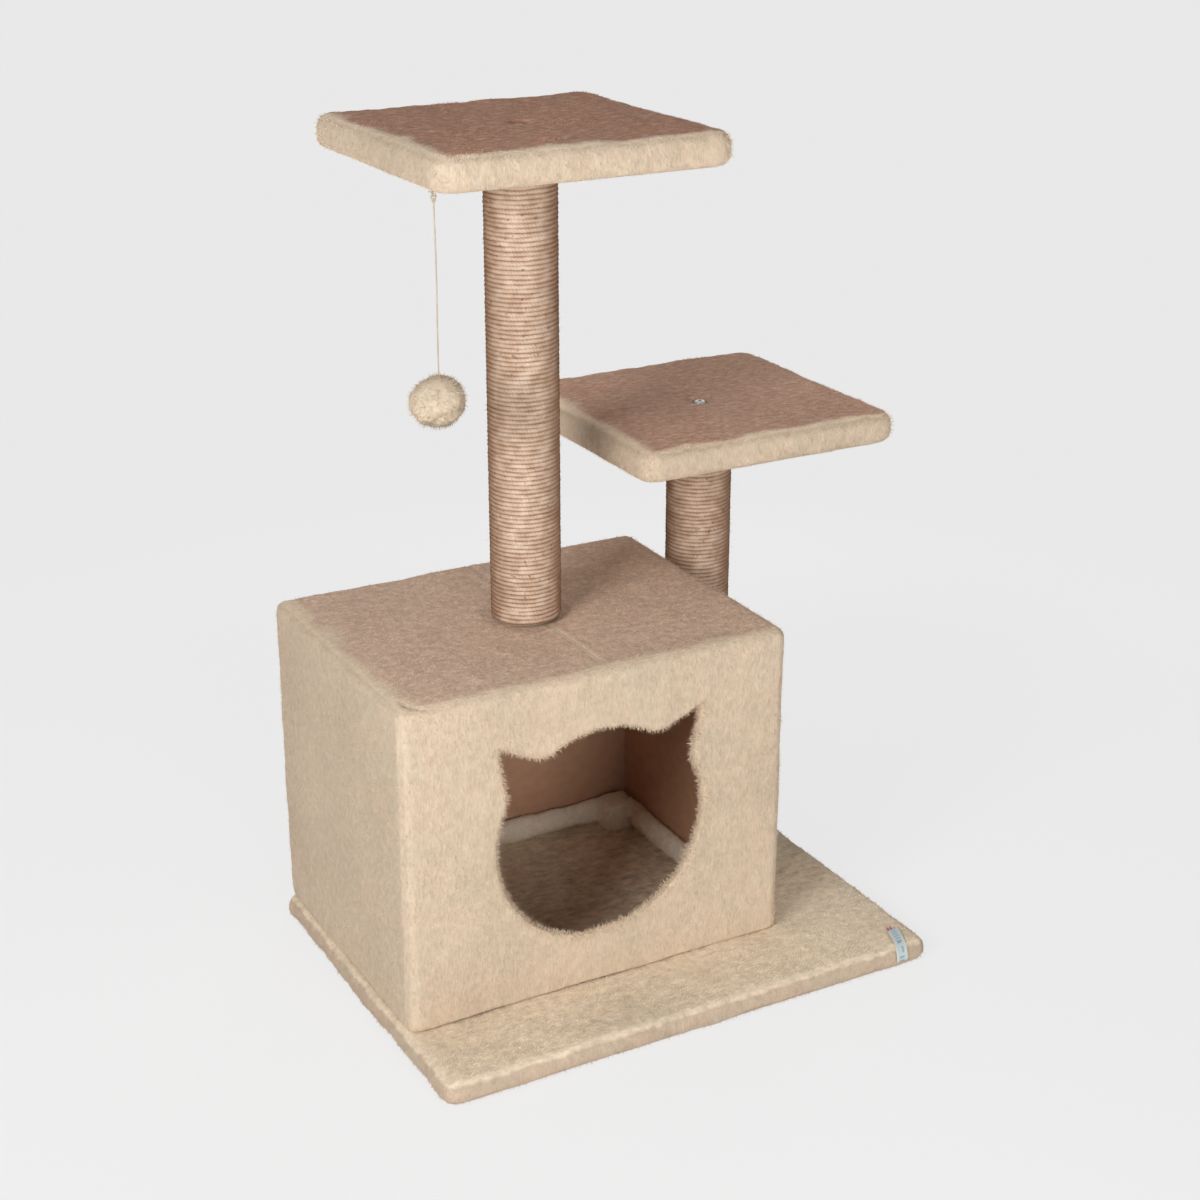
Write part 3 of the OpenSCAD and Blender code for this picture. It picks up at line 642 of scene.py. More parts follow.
def makeCord():
    top = centreOf("toy_loop")
    top.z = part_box("toy_cord")[1].z
    places = [top + Vector(step) * mm for step in toy["route"]]
    line, spline, points = newCurve("toyCord", "BEZIER", len(places))
    line.twist_mode = "MINIMUM"
    spline.resolution_u = 50
    along = 0
    for index, (point, place) in enumerate(zip(points, places)):
        point.co = place
        point.handle_left_type = point.handle_right_type = "AUTO"
        if index:
            along += (place - places[index - 1]).length
        point.tilt = along / toy["twist"] * turnRound
    centre = applyModifiers(linkPiece("toyCord", line))
    path = [vertex.co.copy() for vertex in centre.data.vertices]
    dropPiece(centre)
    # two yarns side by side are the section that is turned along the line
    radius = toy["diameter"] / 2
    section = bmesh.new()
    bmesh.ops.create_circle(section, cap_ends=False, segments=12, radius=radius)
    for vertex in section.verts:
        vertex.co.y *= 0.62 + 0.22 * abs(vertex.co.x) / radius
    yarns = pieceFrom("yarns", section)
    bpy.ops.object.select_all(action="DESELECT")
    bpy.context.view_layer.objects.active = yarns
    yarns.select_set(True)
    bpy.ops.object.convert(target="CURVE")
    cord = linkPiece("toyCord", line)
    line.bevel_mode = "OBJECT"
    line.bevel_object = yarns
    line.use_fill_caps = True
    cord = applyModifiers(cord)
    bpy.data.objects.remove(yarns)
    storeTwist(cord, path)
    shadeRound(cord, 80)
    wear(cord, cottonCord, "toy", "cord", "toy_cord")
    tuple(places[0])


# Length along a path, and the way round it, for every point of a tube
def storeTwist(piece, path):
    length = [0]
    for first, second in zip(path, path[1:]):
        length.append(length[-1] + (second - first).length)
    along, around = [], []
    for vertex in piece.data.vertices:
        near = min(range(len(path)), key=lambda i: (path[i] - vertex.co).length_squared)
        along.append(length[near])
        around.append((*(vertex.co - path[near]).xy, 0))
    storeValues(piece, along=along, around=around)


def ringForm(centre, radius, wire, upAxis):
    form = bmesh.new()
    bmesh.ops.create_circle(form, segments=10, radius=wire,
                            matrix=Matrix.Translation((radius, 0, 0)) @ Matrix.Rotation(math.pi / 2, 4, "X"))
    bmesh.ops.spin(form, geom=form.verts[:] + form.edges[:], cent=(0, 0, 0), axis=(0, 0, 1),
                   angle=turnRound, steps=36, use_merge=True)
    bmesh.ops.remove_doubles(form, verts=form.verts, dist=1e-6)
    turn = Vector((0, 0, 1)).rotation_difference(Vector(upAxis)).to_matrix().to_4x4()
    bmesh.ops.transform(form, matrix=Matrix.Translation(centre) @ turn, verts=form.verts)
    bmesh.ops.recalc_face_normals(form, faces=form.faces)
    return form


def wearRing(piece, centre, body, node):
    along, around = [], []
    for vertex in piece.data.vertices:
        out = vertex.co - centre
        along.append(math.atan2(out.z, out.x + out.y) * out.length)
        around.append((out.normalized().x, out.normalized().z, 0))
    storeValues(piece, along=along, around=around)
    wear(shadeRound(piece, 80), cottonCord, body, "cord", node)


def makeLoops():
    low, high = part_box("toy_loop")
    centre = (low + high) / 2
    wire = toy["ringWire"]
    loop = pieceFrom("toyLoop", ringForm(centre, (high.z - low.z) / 2 - wire, wire, (1, 0, 0)))
    wearRing(loop, centre, "toy_link", "toy_loop")
    low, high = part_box("toy_knot")
    eye = (high.x - low.x) / 2
    centre = Vector(((low.x + high.x) / 2, (low.y + high.y) / 2, high.z - eye))
    form = ringForm(centre, eye - wire, wire, (0, 1, 0))
    # an overhand knot below the eye
    line, turns, points = newCurve("knot", "POLY", toy["knotPoints"])
    line.bevel_depth = wire
    line.bevel_resolution = 2
    turns.use_cyclic_u = True
    foot = Vector((centre.x, centre.y, low.z + 0.0017))
    for index, point in enumerate(points):
        t = index / toy["knotPoints"] * turnRound
        place = Vector((math.sin(t) + 2 * math.sin(2 * t), -math.sin(3 * t) * 1.4,
                        math.cos(t) - 2 * math.cos(2 * t))) * toy["knotSize"] * 0.9
        point.co = (*(foot + place), 1)
    tangle = applyModifiers(linkPiece("knot", line))
    form.from_mesh(tangle.data)
    dropPiece(tangle)
    wearRing(pieceFrom("toyKnot", form), centre, "toy", "toy_knot")


def makeBall():
    low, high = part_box("toy_ball_cover")
    form = bmesh.new()
    bmesh.ops.create_icosphere(form, subdivisions=5, radius=0.5)
    bmesh.ops.scale(form, vec=high - low, verts=form.verts)
    bmesh.ops.translate(form, vec=(low + high) / 2, verts=form.verts)
    ball = pieceFrom("toyBall", form)

    def sag(place, normal):
        return 1 - 0.6 * smoothStep(0.2, 0.9, normal.z)

    def rule(place, normal):
        swirl = Vector((noise.noise(place * 60), noise.noise(place * 60 + Vector((9, 0, 0))), -0.2))
        # painted shade: the ball's lower side, turned from the light, is darker
        deep = 0.75 * smoothStep(-0.1, 1, normal.dot(Vector((0.42, 0, -0.91))))
        return 1, 1, swirl * 1.6, 0.2 + 0.3 * normal.z, deep

    ruffle(ball, toy["ballWaves"], sag)
    combPile(ball, rule)
    plantPile(ball, toy["ballTufts"])
    wear(ball, ballPlush, "toy", "plush", "toy_ball_cover")


print("toy")
makeCord()
makeLoops()
makeBall()

# The plush over the two platforms
platform = {
    "voxel": 0.003,
    "relax": 4,
    "corner": 0.022,  # roundness of the upright edges, the top rim and the lower edge
    "topRound": 0.013,
    "footRound": 0.011,
    "hem": 0.048,  # how far the plush is folded in under the board
    # size of a wave, its height and its seed
    "waves": [(0.075, 0.0016, 1.3), (0.022, 0.0010, 4.7), (0.008, 0.0006, 7.9)],
    # size, depth and lift of a wave in the lower edge, and the heights between which it grows
    "scallop": (0.034, 0.0022, 0, 0.022, 0.004),
    "spill": (0.024, 0.030, 0.050),  # how far the side's pile reaches over the front, the left, and its bays
    "tufts": {"Density": 160000, "Length": 0.0048, "Width": 0.0007, "Spread": 0.45, "Bend": 0,
              "Joints": 1},
    # dimple is its reach, depth and painted shade round the bolt; fluff the length of the pile on the front
    # rim
    "pieces": [
        {"name": "topPlatformPlush", "node": "top_platform", "material": topPlushDarkShade, "hole": 0.0045,
         "bolts": "tall_post_bolts", "dimple": (0.018, 0.005, 0.8), "fluff": 1.1, "seed": 2.1},
        {"name": "sidePlatformPlush", "node": "side_platform", "material": sidePlushLightShade, "hole": 0.0102,
         "bolts": "short_post_bolts", "dimple": (0.022, 0.0042, 0.1), "fluff": 1.5, "seed": 6.4},
    ],
}


def slabPiece(name, low, high, settings):
    slab = boxPiece(name, low, high, uprightRound=settings["corner"],
                    topRound=settings["topRound"], footRound=settings["footRound"], segments=6)
    softenShape(slab, settings)
    return slab


# How far a point of the lower edge moves up or down
def scallopAt(place, normal, low, scallop, seed):
    size, depth, lift, upper, lower = scallop
    out = max(abs(normal.x), abs(normal.y))
    foot = smoothStep(low.z + upper, low.z + lower, place.z) * smoothStep(0.25, 0.8, out)
    return depth * foot * (lift + noise.noise(Vector((place.x, place.y, seed)) / size))


# Cuts the board out of a cover, and a window under it inside the hem
def clearBoard(cover, boardNode, low, high, hem):
    boardLow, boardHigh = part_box(boardNode)
    joinWith(cover, boxPiece("board", boardLow, boardHigh))
    joinWith(cover, boxPiece("window", (low.x + hem, low.y + hem, low.z - 0.02),
                             (high.x - hem, high.y - hem, boardLow.z + 0.001)))

    # whether a point lies against the board, up to a height above it
    def hidden(place, above):
        return (boardLow.x - 0.002 < place.x < boardHigh.x + 0.002
                and boardLow.y - 0.002 < place.y < boardHigh.y + 0.002
                and place.z < boardHigh.z + above)

    return hidden


def dressSlab(cover, rule, tufts, material, slot, node):
    combPile(cover, rule)
    plantPile(cover, tufts)
    wear(cover, material, "tree", slot, node)


def makePlatform(piece):
    node, seed, hole = piece["node"], piece["seed"], piece["hole"]
    low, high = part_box(node + "_cover")
    bolt = centreOf(piece["bolts"])
    dimple, sink, shade = piece["dimple"]
    cover = slabPiece(piece["name"], low, high, platform)

    def calm(place, normal):
        return 0.15 + 0.85 * smoothStep(-0.95, -0.6, normal.z)

    def reachOf(place):
        return math.hypot(place.x - bolt.x, place.y - bolt.y)

    def shape(place, normal):
        place.z += scallopAt(place, normal, low, platform["scallop"], seed)
        if normal.z > 0.5:
            place.z -= sink * smoothStep(dimple, hole, reachOf(place))
        return place

    ruffle(cover, [(size, height, wave + seed) for size, height, wave in platform["waves"]], calm)
    reshape(cover, shape)
    hidden = clearBoard(cover, node + "_board", low, high, platform["hem"])
    joinWith(cover, cylinderPiece("hole", (bolt.x, bolt.y, high.z), hole, 0.03))

    def rule(place, normal):
        edge = edgeAt(normal)
        drift = noise.noise(place * 18 + Vector((seed, 0, 0)))
        spill = spillAt(place, low, platform["spill"], seed)
        lie = smoothStep(0.35, 0.85, normal.z + 0.08 * noise.noise(place * 160))
        ridge = edge * spill * smoothStep(-0.3, 0.3, normal.z)
        comb = Vector((2.4 * lie * (0.7 + drift), 0.9 * lie * noise.noise(place * 25),
                       -0.9 * (1 - lie) + 0.5 * (1 - lie) * drift)) * (1.9 - 0.7 * edge)
        comb = comb * (1 - 0.85 * ridge) + Vector((0.5 * drift, 0, 0.35)) * ridge
        thick = 0.1 if hidden(place, 0.003) or normal.z < -0.8 else 0.7 + 0.5 * edge
        reach = reachOf(place)
        # painted shade in the dimple round the bolt
        deep = shade * bell(reach, 0.5 * dimple) if normal.z > 0.5 else 0
        bare = (1 - shade) * smoothStep(hole + 0.007, hole + 0.001, reach)
        foot = 0.45 * smoothStep(-0.1, -0.5, normal.z) + 0.5 * bare
        return (thick * (1 - 0.9 * bare), 1 - 0.35 * lie + (piece["fluff"] - 1) * ridge - foot, comb,
                lie * (1 - 0.95 * spill), deep)

    dressSlab(cover, rule, {**platform["tufts"], "Seed": int(seed * 10)}, piece["material"],
              "long_plush", node + "_cover")


print("platforms")
for platformPiece in platform["pieces"]:
    makePlatform(platformPiece)

# The plush over the base
base = {
    "voxel": 0.0036,
    "relax": 3,
    "corner": 0.016,
    "topRound": 0.0125,
    "footRound": 0.0075,
    "hem": 0.036,
    "waves": [(0.085, 0.0018, 11.3), (0.030, 0.0012, 14.7), (0.009, 0.0006, 17.9)],
    "scallop": (0.036, 0.0030, 0.5, 0.014, 0.003),
    "behind": 0.52,  # painted shadow of the house on the base's top beside it, at the back
    "roomShade": 0.24,  # how much painted shade grows to the right inside the house
    "tufts": {"Density": 80000, "Length": 0.0042, "Width": 0.0009, "Spread": 0.5, "Bend": 0,
              "Joints": 1, "Seed": 31},
}


def makeBase():
    low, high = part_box("base_cover")
    roomLow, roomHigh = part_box("left_wall")[0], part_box("right_wall")[1]
    cover = slabPiece("basePlush", low, high, base)

    def inRoom(place):
        return (smoothStep(roomLow.x, roomLow.x + 0.01, place.x)
                * smoothStep(roomHigh.x, roomHigh.x - 0.01, place.x)
                * smoothStep(roomLow.y, roomLow.y + 0.01, place.y)
                * smoothStep(roomHigh.y, roomHigh.y - 0.01, place.y))

    def calm(place, normal):
        return 0.12 if normal.z < -0.6 else 1 + 0.7 * inRoom(place)

    def shape(place, normal):
        place.z += scallopAt(place, normal, low, base["scallop"], 3.3)
        place.z = max(place.z, 0)
        return place

    ruffle(cover, base["waves"], calm)
    reshape(cover, shape)
    hidden = clearBoard(cover, "base_board", low, high, base["hem"])

    def rule(place, normal):
        edge = edgeAt(normal)
        lie = smoothStep(0.30, 0.98, normal.z)
        drift = noise.noise(place * 14)
        sway = noise.noise(place * 9 + Vector((5, 0, 0)))
        comb = Vector((1.2 * lie * drift, -0.9 * lie * (0.4 + sway), -0.9 * (1 - lie)))
        thick = 0.05 if hidden(place, 0.002) or normal.z < -0.8 else 0.8 + 0.4 * edge
        # painted shade inside the house, growing to the right, and painted shadow of the house on the base
        # beside it at the back
        paintedShade = base["roomShade"] * smoothStep(roomLow.x, roomHigh.x, place.x - 0.6 * place.y)
        deep = (paintedShade + 0.12 * drift) * inRoom(place) if normal.z > 0 else 0
        deep += (base["behind"] * smoothStep(-0.12, 0.13, place.y)
                 * smoothStep(roomHigh.x, roomHigh.x + 0.012, place.x))
        return thick, 0.85, comb * (1.8 - 0.8 * edge), lie, deep

    dressSlab(cover, rule, base["tufts"], basePlush, "plush", "base_cover")


print("base")
makeBase()

# The plush over the house
house = {
    "voxel": 0.0032,
    "relax": 4,
    "corner": 0.012,
    "edge": 0.011,
    "waves": [(0.11, 0.0016, 21.3), (0.035, 0.0009, 24.7), (0.010, 0.0005, 27.9)],
    "seam": (0.0024, 0.0005),  # half width and depth of the roof's seam
    "seamRidge": (0.006, 0.003, 0.0009),  # how far the ridges beside it lie, half width and height
    "seamPlace": (0.010, 0.030),  # right of the middle, and how far it stops before the front
    "spill": (0.020, 0.036, 0.040),  # how far the walls' pile reaches over the roof's front, left, its bays
    "fold": (0.036, 0.0014, 0.0030),  # reach, half width and depth of the fold at the roof's corner
    "corners": (0.0022, 0.0009),  # half width and depth of the seams down the corners
    "lip": (0.004, 0.0032),  # how far the plush reaches behind the front wall's face, and its thickness
    "lipHalf": 0.14,  # half the width of the part of the front wall that holds the lip
    "boltHole": 0.0045,  # radius of the hole in the roof, under the tall post
    "postDent": (0.052, 0.040, 0.0022),  # round the tall post: reach, full depth from here in, and depth
    "postFoot": 0.039,  # the roof is bare under the post, out to here
    "tufts": {"Density": 80000, "Length": 0.0042, "Width": 0.0008, "Spread": 0.5, "Bend": 0,
              "Joints": 1},
}

# The entrance is a cat's head: heights are above the base's top, in millimetres
entrance = {
    "faceRadius": 126, "faceHeight": 187, "cheekHeight": 244, "ear": (122, 307),
    "earFoot": (75, 286), "earFlat": 12, "crownHeight": 304,
}


def arcPoints(radius, height, start, sweep, steps):
    angles = [start + sweep * index / steps for index in range(steps + 1)]
    return [(radius * math.cos(angle), height + radius * math.sin(angle)) for angle in angles]


def catHeadOutline(grow=0):
    radius = entrance["faceRadius"] + grow
    footX, footZ = entrance["earFoot"]
    earX, earZ = entrance["ear"]
    half, rise = footX - entrance["earFlat"], entrance["crownHeight"] - footZ
    crown = (half * half + rise * rise) / (2 * rise)
    cheek = math.asin((entrance["cheekHeight"] - entrance["faceHeight"]) / radius)
    turn = math.asin(half / crown)
    return [
        *arcPoints(radius, entrance["faceHeight"], math.pi - cheek, math.pi + 2 * cheek, 72),
        (earX + grow, earZ + 1.6 * grow),
        (footX, footZ + grow),
        *arcPoints(crown + grow, entrance["crownHeight"] - crown, math.pi / 2 - turn, 2 * turn, 24),
        (-footX, footZ + grow),
        (-earX - grow, earZ + 1.6 * grow),
    ]


# The cat's head as a solid that runs back from one depth to another
def catHeadPiece(name, middle, foot, front, back, grow=0):
    form = bmesh.new()
    rim = [form.verts.new((middle + x * mm, front, foot + z * mm)) for x, z in catHeadOutline(grow)]
    grown = bmesh.ops.extrude_face_region(form, geom=[form.faces.new(rim)])["geom"]
    bmesh.ops.translate(form, vec=(0, back - front, 0),
                        verts=[v for v in grown if isinstance(v, bmesh.types.BMVert)])
    bmesh.ops.recalc_face_normals(form, faces=form.faces)
    return pieceFrom(name, form)


def makeHouse():
    covers = ["front_cover", "back_cover", "left_cover", "right_cover"]
    low = Vector([min(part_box(n)[0][axis] for n in covers) for axis in range(3)])
    high = Vector([max(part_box(n)[1][axis] for n in covers) for axis in range(3)])
    wallLow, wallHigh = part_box("left_wall")[0].copy(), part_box("right_wall")[1].copy()
    wallLow.y, wallHigh.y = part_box("front_wall")[0].y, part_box("back_wall")[1].y
    middle = (low.x + high.x) / 2
    tall = centreOf("tall_post_tube")
    reach, half = 0.05, house["lipHalf"]
    # the skin: a rounded box, hollowed over the walls, with a lip through the front wall
    shell = boxPiece("shell", (low.x, low.y, low.z - 0.02), high, uprightRound=house["corner"],
                     topRound=house["edge"])
    joinWith(shell, boxPiece("below", (low.x - 0.1, low.y - 0.1, low.z - 0.1),
                             (high.x + 0.1, high.y + 0.1, low.z)))
    joinWith(shell, boxPiece("room", (wallLow.x, wallLow.y, low.z - 0.05),
                             (wallHigh.x, wallHigh.y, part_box("roof_panel")[1].z)))
    lipBack = wallLow.y + house["lip"][0]
    joinWith(shell, catHeadPiece("lip", middle, low.z, wallLow.y - 0.002, lipBack, house["lip"][1] / mm),
             "UNION")
    joinWith(shell, catHeadPiece("mouth", middle, low.z, low.y - 0.01, lipBack + 0.01))
    softenShape(shell, house)
    outline = [Vector((middle + x * mm, low.z + z * mm)) for x, z in catHeadOutline()]

    def lipRegion(overlap):
        return boxPiece("lipRegion", (middle - half, wallLow.y - overlap, low.z + 0.04),
                        (middle + half, lipBack + 0.01, high.z - 0.03))

    def rimNear(place):
        spot = Vector((place.x, place.z))
        best = 1
        for first, second in zip(outline, outline[1:] + outline[:1]):
            near, share = geometry.intersect_point_line(spot, first, second)
            near = first if share < 0 else second if share > 1 else near.to_2d()
            best = min(best, (near - spot).length)
        return best

    # a fold in the plush round the roof's front left corner: 1 on its line, 0 away from it
    def foldAt(place):
        size, width, _ = house["fold"]
        x, y = place.x - low.x, place.y - low.y
        across = math.hypot(x - size, y - size * 0.75) - size * 0.62
        return bell(across, width) * smoothStep(size, size * 0.6, x) * smoothStep(size, size * 0.6, y)

    # how far a point is across the roof's seam, and 1 where the seam runs
    def seamAt(place):
        shift, stop = house["seamPlace"]
        return place.x - middle - shift, smoothStep(stop - 0.012, stop + 0.006, place.y - low.y)

    def fromPost(place):
        return math.hypot(place.x - tall.x, place.y - tall.y)

    def shape(place, normal):
        if normal.z > 0.7 and place.z > high.z - 0.006:
            across, sewn = seamAt(place)
            width, depth = house["seam"]
            beside, ridgeWidth, ridge = house["seamRidge"]
            place.z -= depth * sewn * bell(across, width)
            place.z += ridge * sewn * bell(abs(across) - beside, ridgeWidth)
            outer, inner, sink = house["postDent"]
            place.z -= sink * smoothStep(outer, inner, fromPost(place))
            place.z -= house["fold"][2] * foldAt(place)
        if abs(normal.x) > 0.8:
            side = -1 if place.x < middle else 1
            width, depth = house["corners"]
            for corner in (wallLow.y, wallHigh.y):
                place.x -= side * depth * bell(place.y - corner, width)
        return place

    ruffle(shell, house["waves"])
    reshape(shell, shape)
    joinWith(shell, cylinderPiece("boltHole", (tall.x, tall.y, high.z), house["boltHole"], 0.04))

    def rule(place, normal):
        seen = (place.x < low.x + 0.004 or place.x > high.x - 0.004 or place.y < low.y + 0.004
                or place.y > high.y - 0.004 or place.z > high.z - 0.0035)
        edge = edgeAt(normal)
        lie = smoothStep(0.35, 0.9, normal.z)
        drift = noise.noise(place * 14)
        sway = noise.noise(place * 9 + Vector((7, 0, 0)))
        ridge = edge * smoothStep(0, 0.4, normal.z)
        comb = Vector((1.3 * lie * (0.3 + drift) + 0.4 * (1 - lie) * drift * abs(normal.y),
                       -0.8 * lie * (0.3 + sway) + 0.4 * (1 - lie) * drift * abs(normal.x),
                       -1.0 * (1 - lie) * (0.7 + sway)))
        thick, long = 0.8 + 0.4 * edge, 0.8 + 0.1 * edge + 0.25 * ridge - 0.3 * lie
        # painted shade in the fold at the roof's corner
        deep = 0.55 * foldAt(place) if lie > 0.5 else 0
        if place.z > high.z - 0.005 and fromPost(place) < house["postFoot"]:
            thick = 0.02
        lie *= 1 - 0.85 * spillAt(place, low, house["spill"], 3.1)
        if place.z > high.z - 0.006 and place.y < tall.y:
            across, sewn = seamAt(place)
            lie *= 1 - 0.85 * sewn * smoothStep(0.0042, 0.0020, abs(across))
        if place.y < lipBack + 0.002 and abs(place.x - middle) < 0.13 and place.z < high.z - 0.03:
            rim = rimNear(place)
            if rim < 0.006:
                near = smoothStep(0.006, 0.003, rim)
                ragged = noise.noise(place / 0.0028)
                comb = comb * (1 - near) + Vector((0.5 * sway, -0.2, 0.5 * drift)) * near
                thick, long, seen = thick + 3.5 * near, long + (0.25 + 1.3 * ragged) * near, True
                lie *= 1 - near
        return thick if seen else 0, long, comb * (1.8 - 0.9 * edge - 0.5 * ridge), lie, deep

    combPile(shell, rule)
    meet = middle + house["seamPlace"][0]
    for name, node, near, far, seed in (
            ("frontPlush", "front_cover", (low.x - reach, low.y - reach), (high.x + reach, wallLow.y), 41),
            ("backPlush", "back_cover", (low.x - reach, wallHigh.y), (high.x + reach, high.y + reach), 42),
            ("leftPlush", "left_cover", (low.x - reach, wallLow.y), (meet, wallHigh.y), 43),
            ("rightPlush", "right_cover", (meet, wallLow.y), (high.x + reach, wallHigh.y), 44)):
        part = linkPiece(name, shell.data.copy())
        region = boxPiece("region", (*near, low.z - reach), (*far, high.z + reach))
        if node == "front_cover":
            joinWith(region, lipRegion(0.001), "UNION")
        joinWith(part, region, "INTERSECT")
        if node in ("left_cover", "right_cover"):
            joinWith(part, lipRegion(0.01))
        plantPile(part, {**house["tufts"], "Seed": seed})
        wear(part, housePlush, "tree", "plush", node)
    dropPiece(shell)


print("house")
makeHouse()

# The rope wound round the two posts
rope = {
    "wire": 0.0052,
    "flat": 1.24,  # a turn's height over its thickness
    "pitch": 0.0048,
    "sides": 8,
    "steps": 44,
    "wobble": [(0.016, 0.0008, 51.3), (0.005, 0.0004, 54.1)],
    "fat": (0.02, 0.09, 5),  # changes of thickness along the rope: their size, share and seed
    "fibres": {"Density": 5200, "Length": 0.0075, "Width": 0.00035, "Spread": 0.9, "Bend": 0.6,
               "Joints": 2},
}


def makeRope(name, node, seed):
    low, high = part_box(node)
    centre = (low + high) / 2
    wire = rope["wire"]
    radius = (high.x - low.x) / 2 - wire / 2
    turns = math.floor((high.z - low.z - wire) / rope["pitch"])
    rise = (high.z - low.z - wire) / turns
    form = bmesh.new()
    bmesh.ops.create_circle(form, segments=rope["sides"], radius=wire / 2, matrix=Matrix.Translation(
        (radius, 0, low.z + wire / 2)) @ Matrix.Rotation(math.pi / 2, 4, "X")
        @ Matrix.Diagonal((1, rope["flat"], 1, 1)))
    winding = pieceFrom(name, form)
    wind = winding.modifiers.new("wind", "SCREW")
    wind.axis = "Z"
    wind.angle = turnRound
    wind.screw_offset = rise
    wind.iterations = turns
    wind.steps = wind.render_steps = rope["steps"]
    wind.use_smooth_shade = True
    applyModifiers(winding)
    form = bmesh.new()
    form.from_mesh(winding.data)
    bmesh.ops.holes_fill(form, edges=[e for e in form.edges if e.is_boundary], sides=0)
    bmesh.ops.recalc_face_normals(form, faces=form.faces)
    form.to_mesh(winding.data)
    form.free()
    along, around = [], []

    # the turn a point is on, unwound to a length of rope, gives its wobble and its marks
    def shape(place, normal):
        turn = math.atan2(place.y, place.x) / turnRound
        turn += round((place.z - low.z - wire / 2) / rise - turn)
        length = turn * turnRound * radius
        out = math.hypot(place.x, place.y) - radius
        up = place.z - low.z - wire / 2 - turn * rise
        along.append(length)
        around.append((out / wire, up / wire, 0))
        slack = sum(height * noise.noise(Vector((length / size, wave + seed, 0)))
                    for size, height, wave in rope["wobble"])
        size, share, wave = rope["fat"]
        fat = 1 + share * noise.noise(Vector((length / size, seed, wave)))
        ring = (radius + out * fat + 0.5 * slack) / (radius + out)
        return place.x * ring + centre.x, place.y * ring + centre.y, place.z + slack

    reshape(winding, shape)
    storeValues(winding, along=along, around=around)

    def rule(place, normal):
        out = Vector((place.x - centre.x, place.y - centre.y, 0))
        comb = Vector((-out.y, out.x, 0)).normalized() * 2.2
        return (1 if normal.dot(out) > 0.4 * out.length else 0), 1, comb, 0, 0

    combPile(winding, rule)
    plantPile(winding, {**rope["fibres"], "Seed": seed})
    wear(winding, sisalRope, "tree", "rope", node)


print("rope")
makeRope("tallRope", "tall_post_rope", 61)
makeRope("shortRope", "short_post_rope", 62)

# The rolled hem along the walls inside the house
hem = {
    "tall": 1.35,  # a roll's height over its thickness
    "roll": 0.0112,  # radius of the roll along a wall, and how far its middle is from the wall
    "out": -0.003,
    "lump": (0.049, 0.015, 0.018),  # side of the lump over a block, its cover and its roundness
    "voxel": 0.0024,
    "relax": 5,
    "waves": [(0.040, 0.0030, 71.3), (0.016, 0.0018, 74.7), (0.006, 0.0007, 77.9)],
    # staples' dents in the lump at the back right: (left of the wall, before the wall, height)
    "dents": [(0.006, 0.040, 0.016), (0.022, 0.004, 0.036), (0.005, 0.020, 0.033)],
    "dent": (0.0026, 0.0030),
    "tufts": {"Density": 90000, "Length": 0.0032, "Width": 0.0007, "Spread": 0.8, "Bend": 0,
              "Joints": 1, "Seed": 73},
}


def makeHem():
    left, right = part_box("left_wall")[1].x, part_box("right_wall")[0].x
    front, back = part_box("front_wall")[1].y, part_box("back_wall")[0].y
    blockLow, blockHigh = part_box("corner_blocks")
    foot, radius, tall = blockLow.z, hem["roll"], hem["tall"]
    inset, level = hem["out"] + radius, foot + radius * tall * 0.95
    middle = Vector(((left + right) / 2, (front + back) / 2, foot))
    long, deep = right - left, back - front
    acrossY, acrossX = Matrix.Rotation(math.pi / 2, 4, "Y"), Matrix.Rotation(math.pi / 2, 4, "X")
    form = bmesh.new()
    for x, y, turn, length in (
            (middle.x, back - inset, acrossY, long), (middle.x, front + inset, acrossY, long),
            (left + inset, middle.y, acrossX, deep), (right - inset, middle.y, acrossX, deep)):
        bmesh.ops.create_cone(form, cap_ends=True, segments=20, radius1=radius, radius2=radius,
                              depth=length, matrix=Matrix.Translation((x, y, level))
                              @ Matrix.Diagonal((1, 1, tall, 1)) @ turn)
    side, cover, roundness = hem["lump"]
    for x in (left, right - side):
        for y in (front, back - side):
            lump = boxPiece("lump", (x, y, foot - 0.001), (x + side, y + side, blockHigh.z + cover),
                            uprightRound=roundness, topRound=roundness * 0.8)
            form.from_mesh(lump.data)
            dropPiece(lump)
    roll = pieceFrom("houseHem", form)
    softenShape(roll, hem)
    ruffle(roll, hem["waves"])
    size, depth = hem["dent"]
    dents = [Vector((right - x, back - y, foot + z)) for x, y, z in hem["dents"]]

    def dentAt(place):
        return max(bell((place - dent).length, size * 1.6) for dent in dents)

    def shape(place, normal):
        place -= normal * depth * dentAt(place)
        return (min(max(place.x, left - 0.001), right + 0.001),
                min(max(place.y, front - 0.001), back + 0.001), max(place.z, foot - 0.002))

    def rule(place, normal):
        wall = min(place.x - left, right - place.x, place.y - front, back - place.y)
        block = max(abs(place.x - middle.x) - long / 2 + side, abs(place.y - middle.y) - deep / 2 + side)
        # painted shade in the crease at the blocks, in the staples' dents and against the walls
        crease = 0.75 * bell(block, 0.003) if place.z < blockHigh.z + 0.006 else 0
        paintedShade = max(dentAt(place), crease, 0.7 * smoothStep(0.004, 0, wall))
        return (1 if wall > 0.0005 else 0), 1, (0, 0, -0.4), 0.3, min(1, paintedShade)

    reshape(roll, shape)
    combPile(roll, rule)
    plantPile(roll, hem["tufts"])
    wear(roll, hemPlush, "tree", "plush")


print("hem")
makeHem()

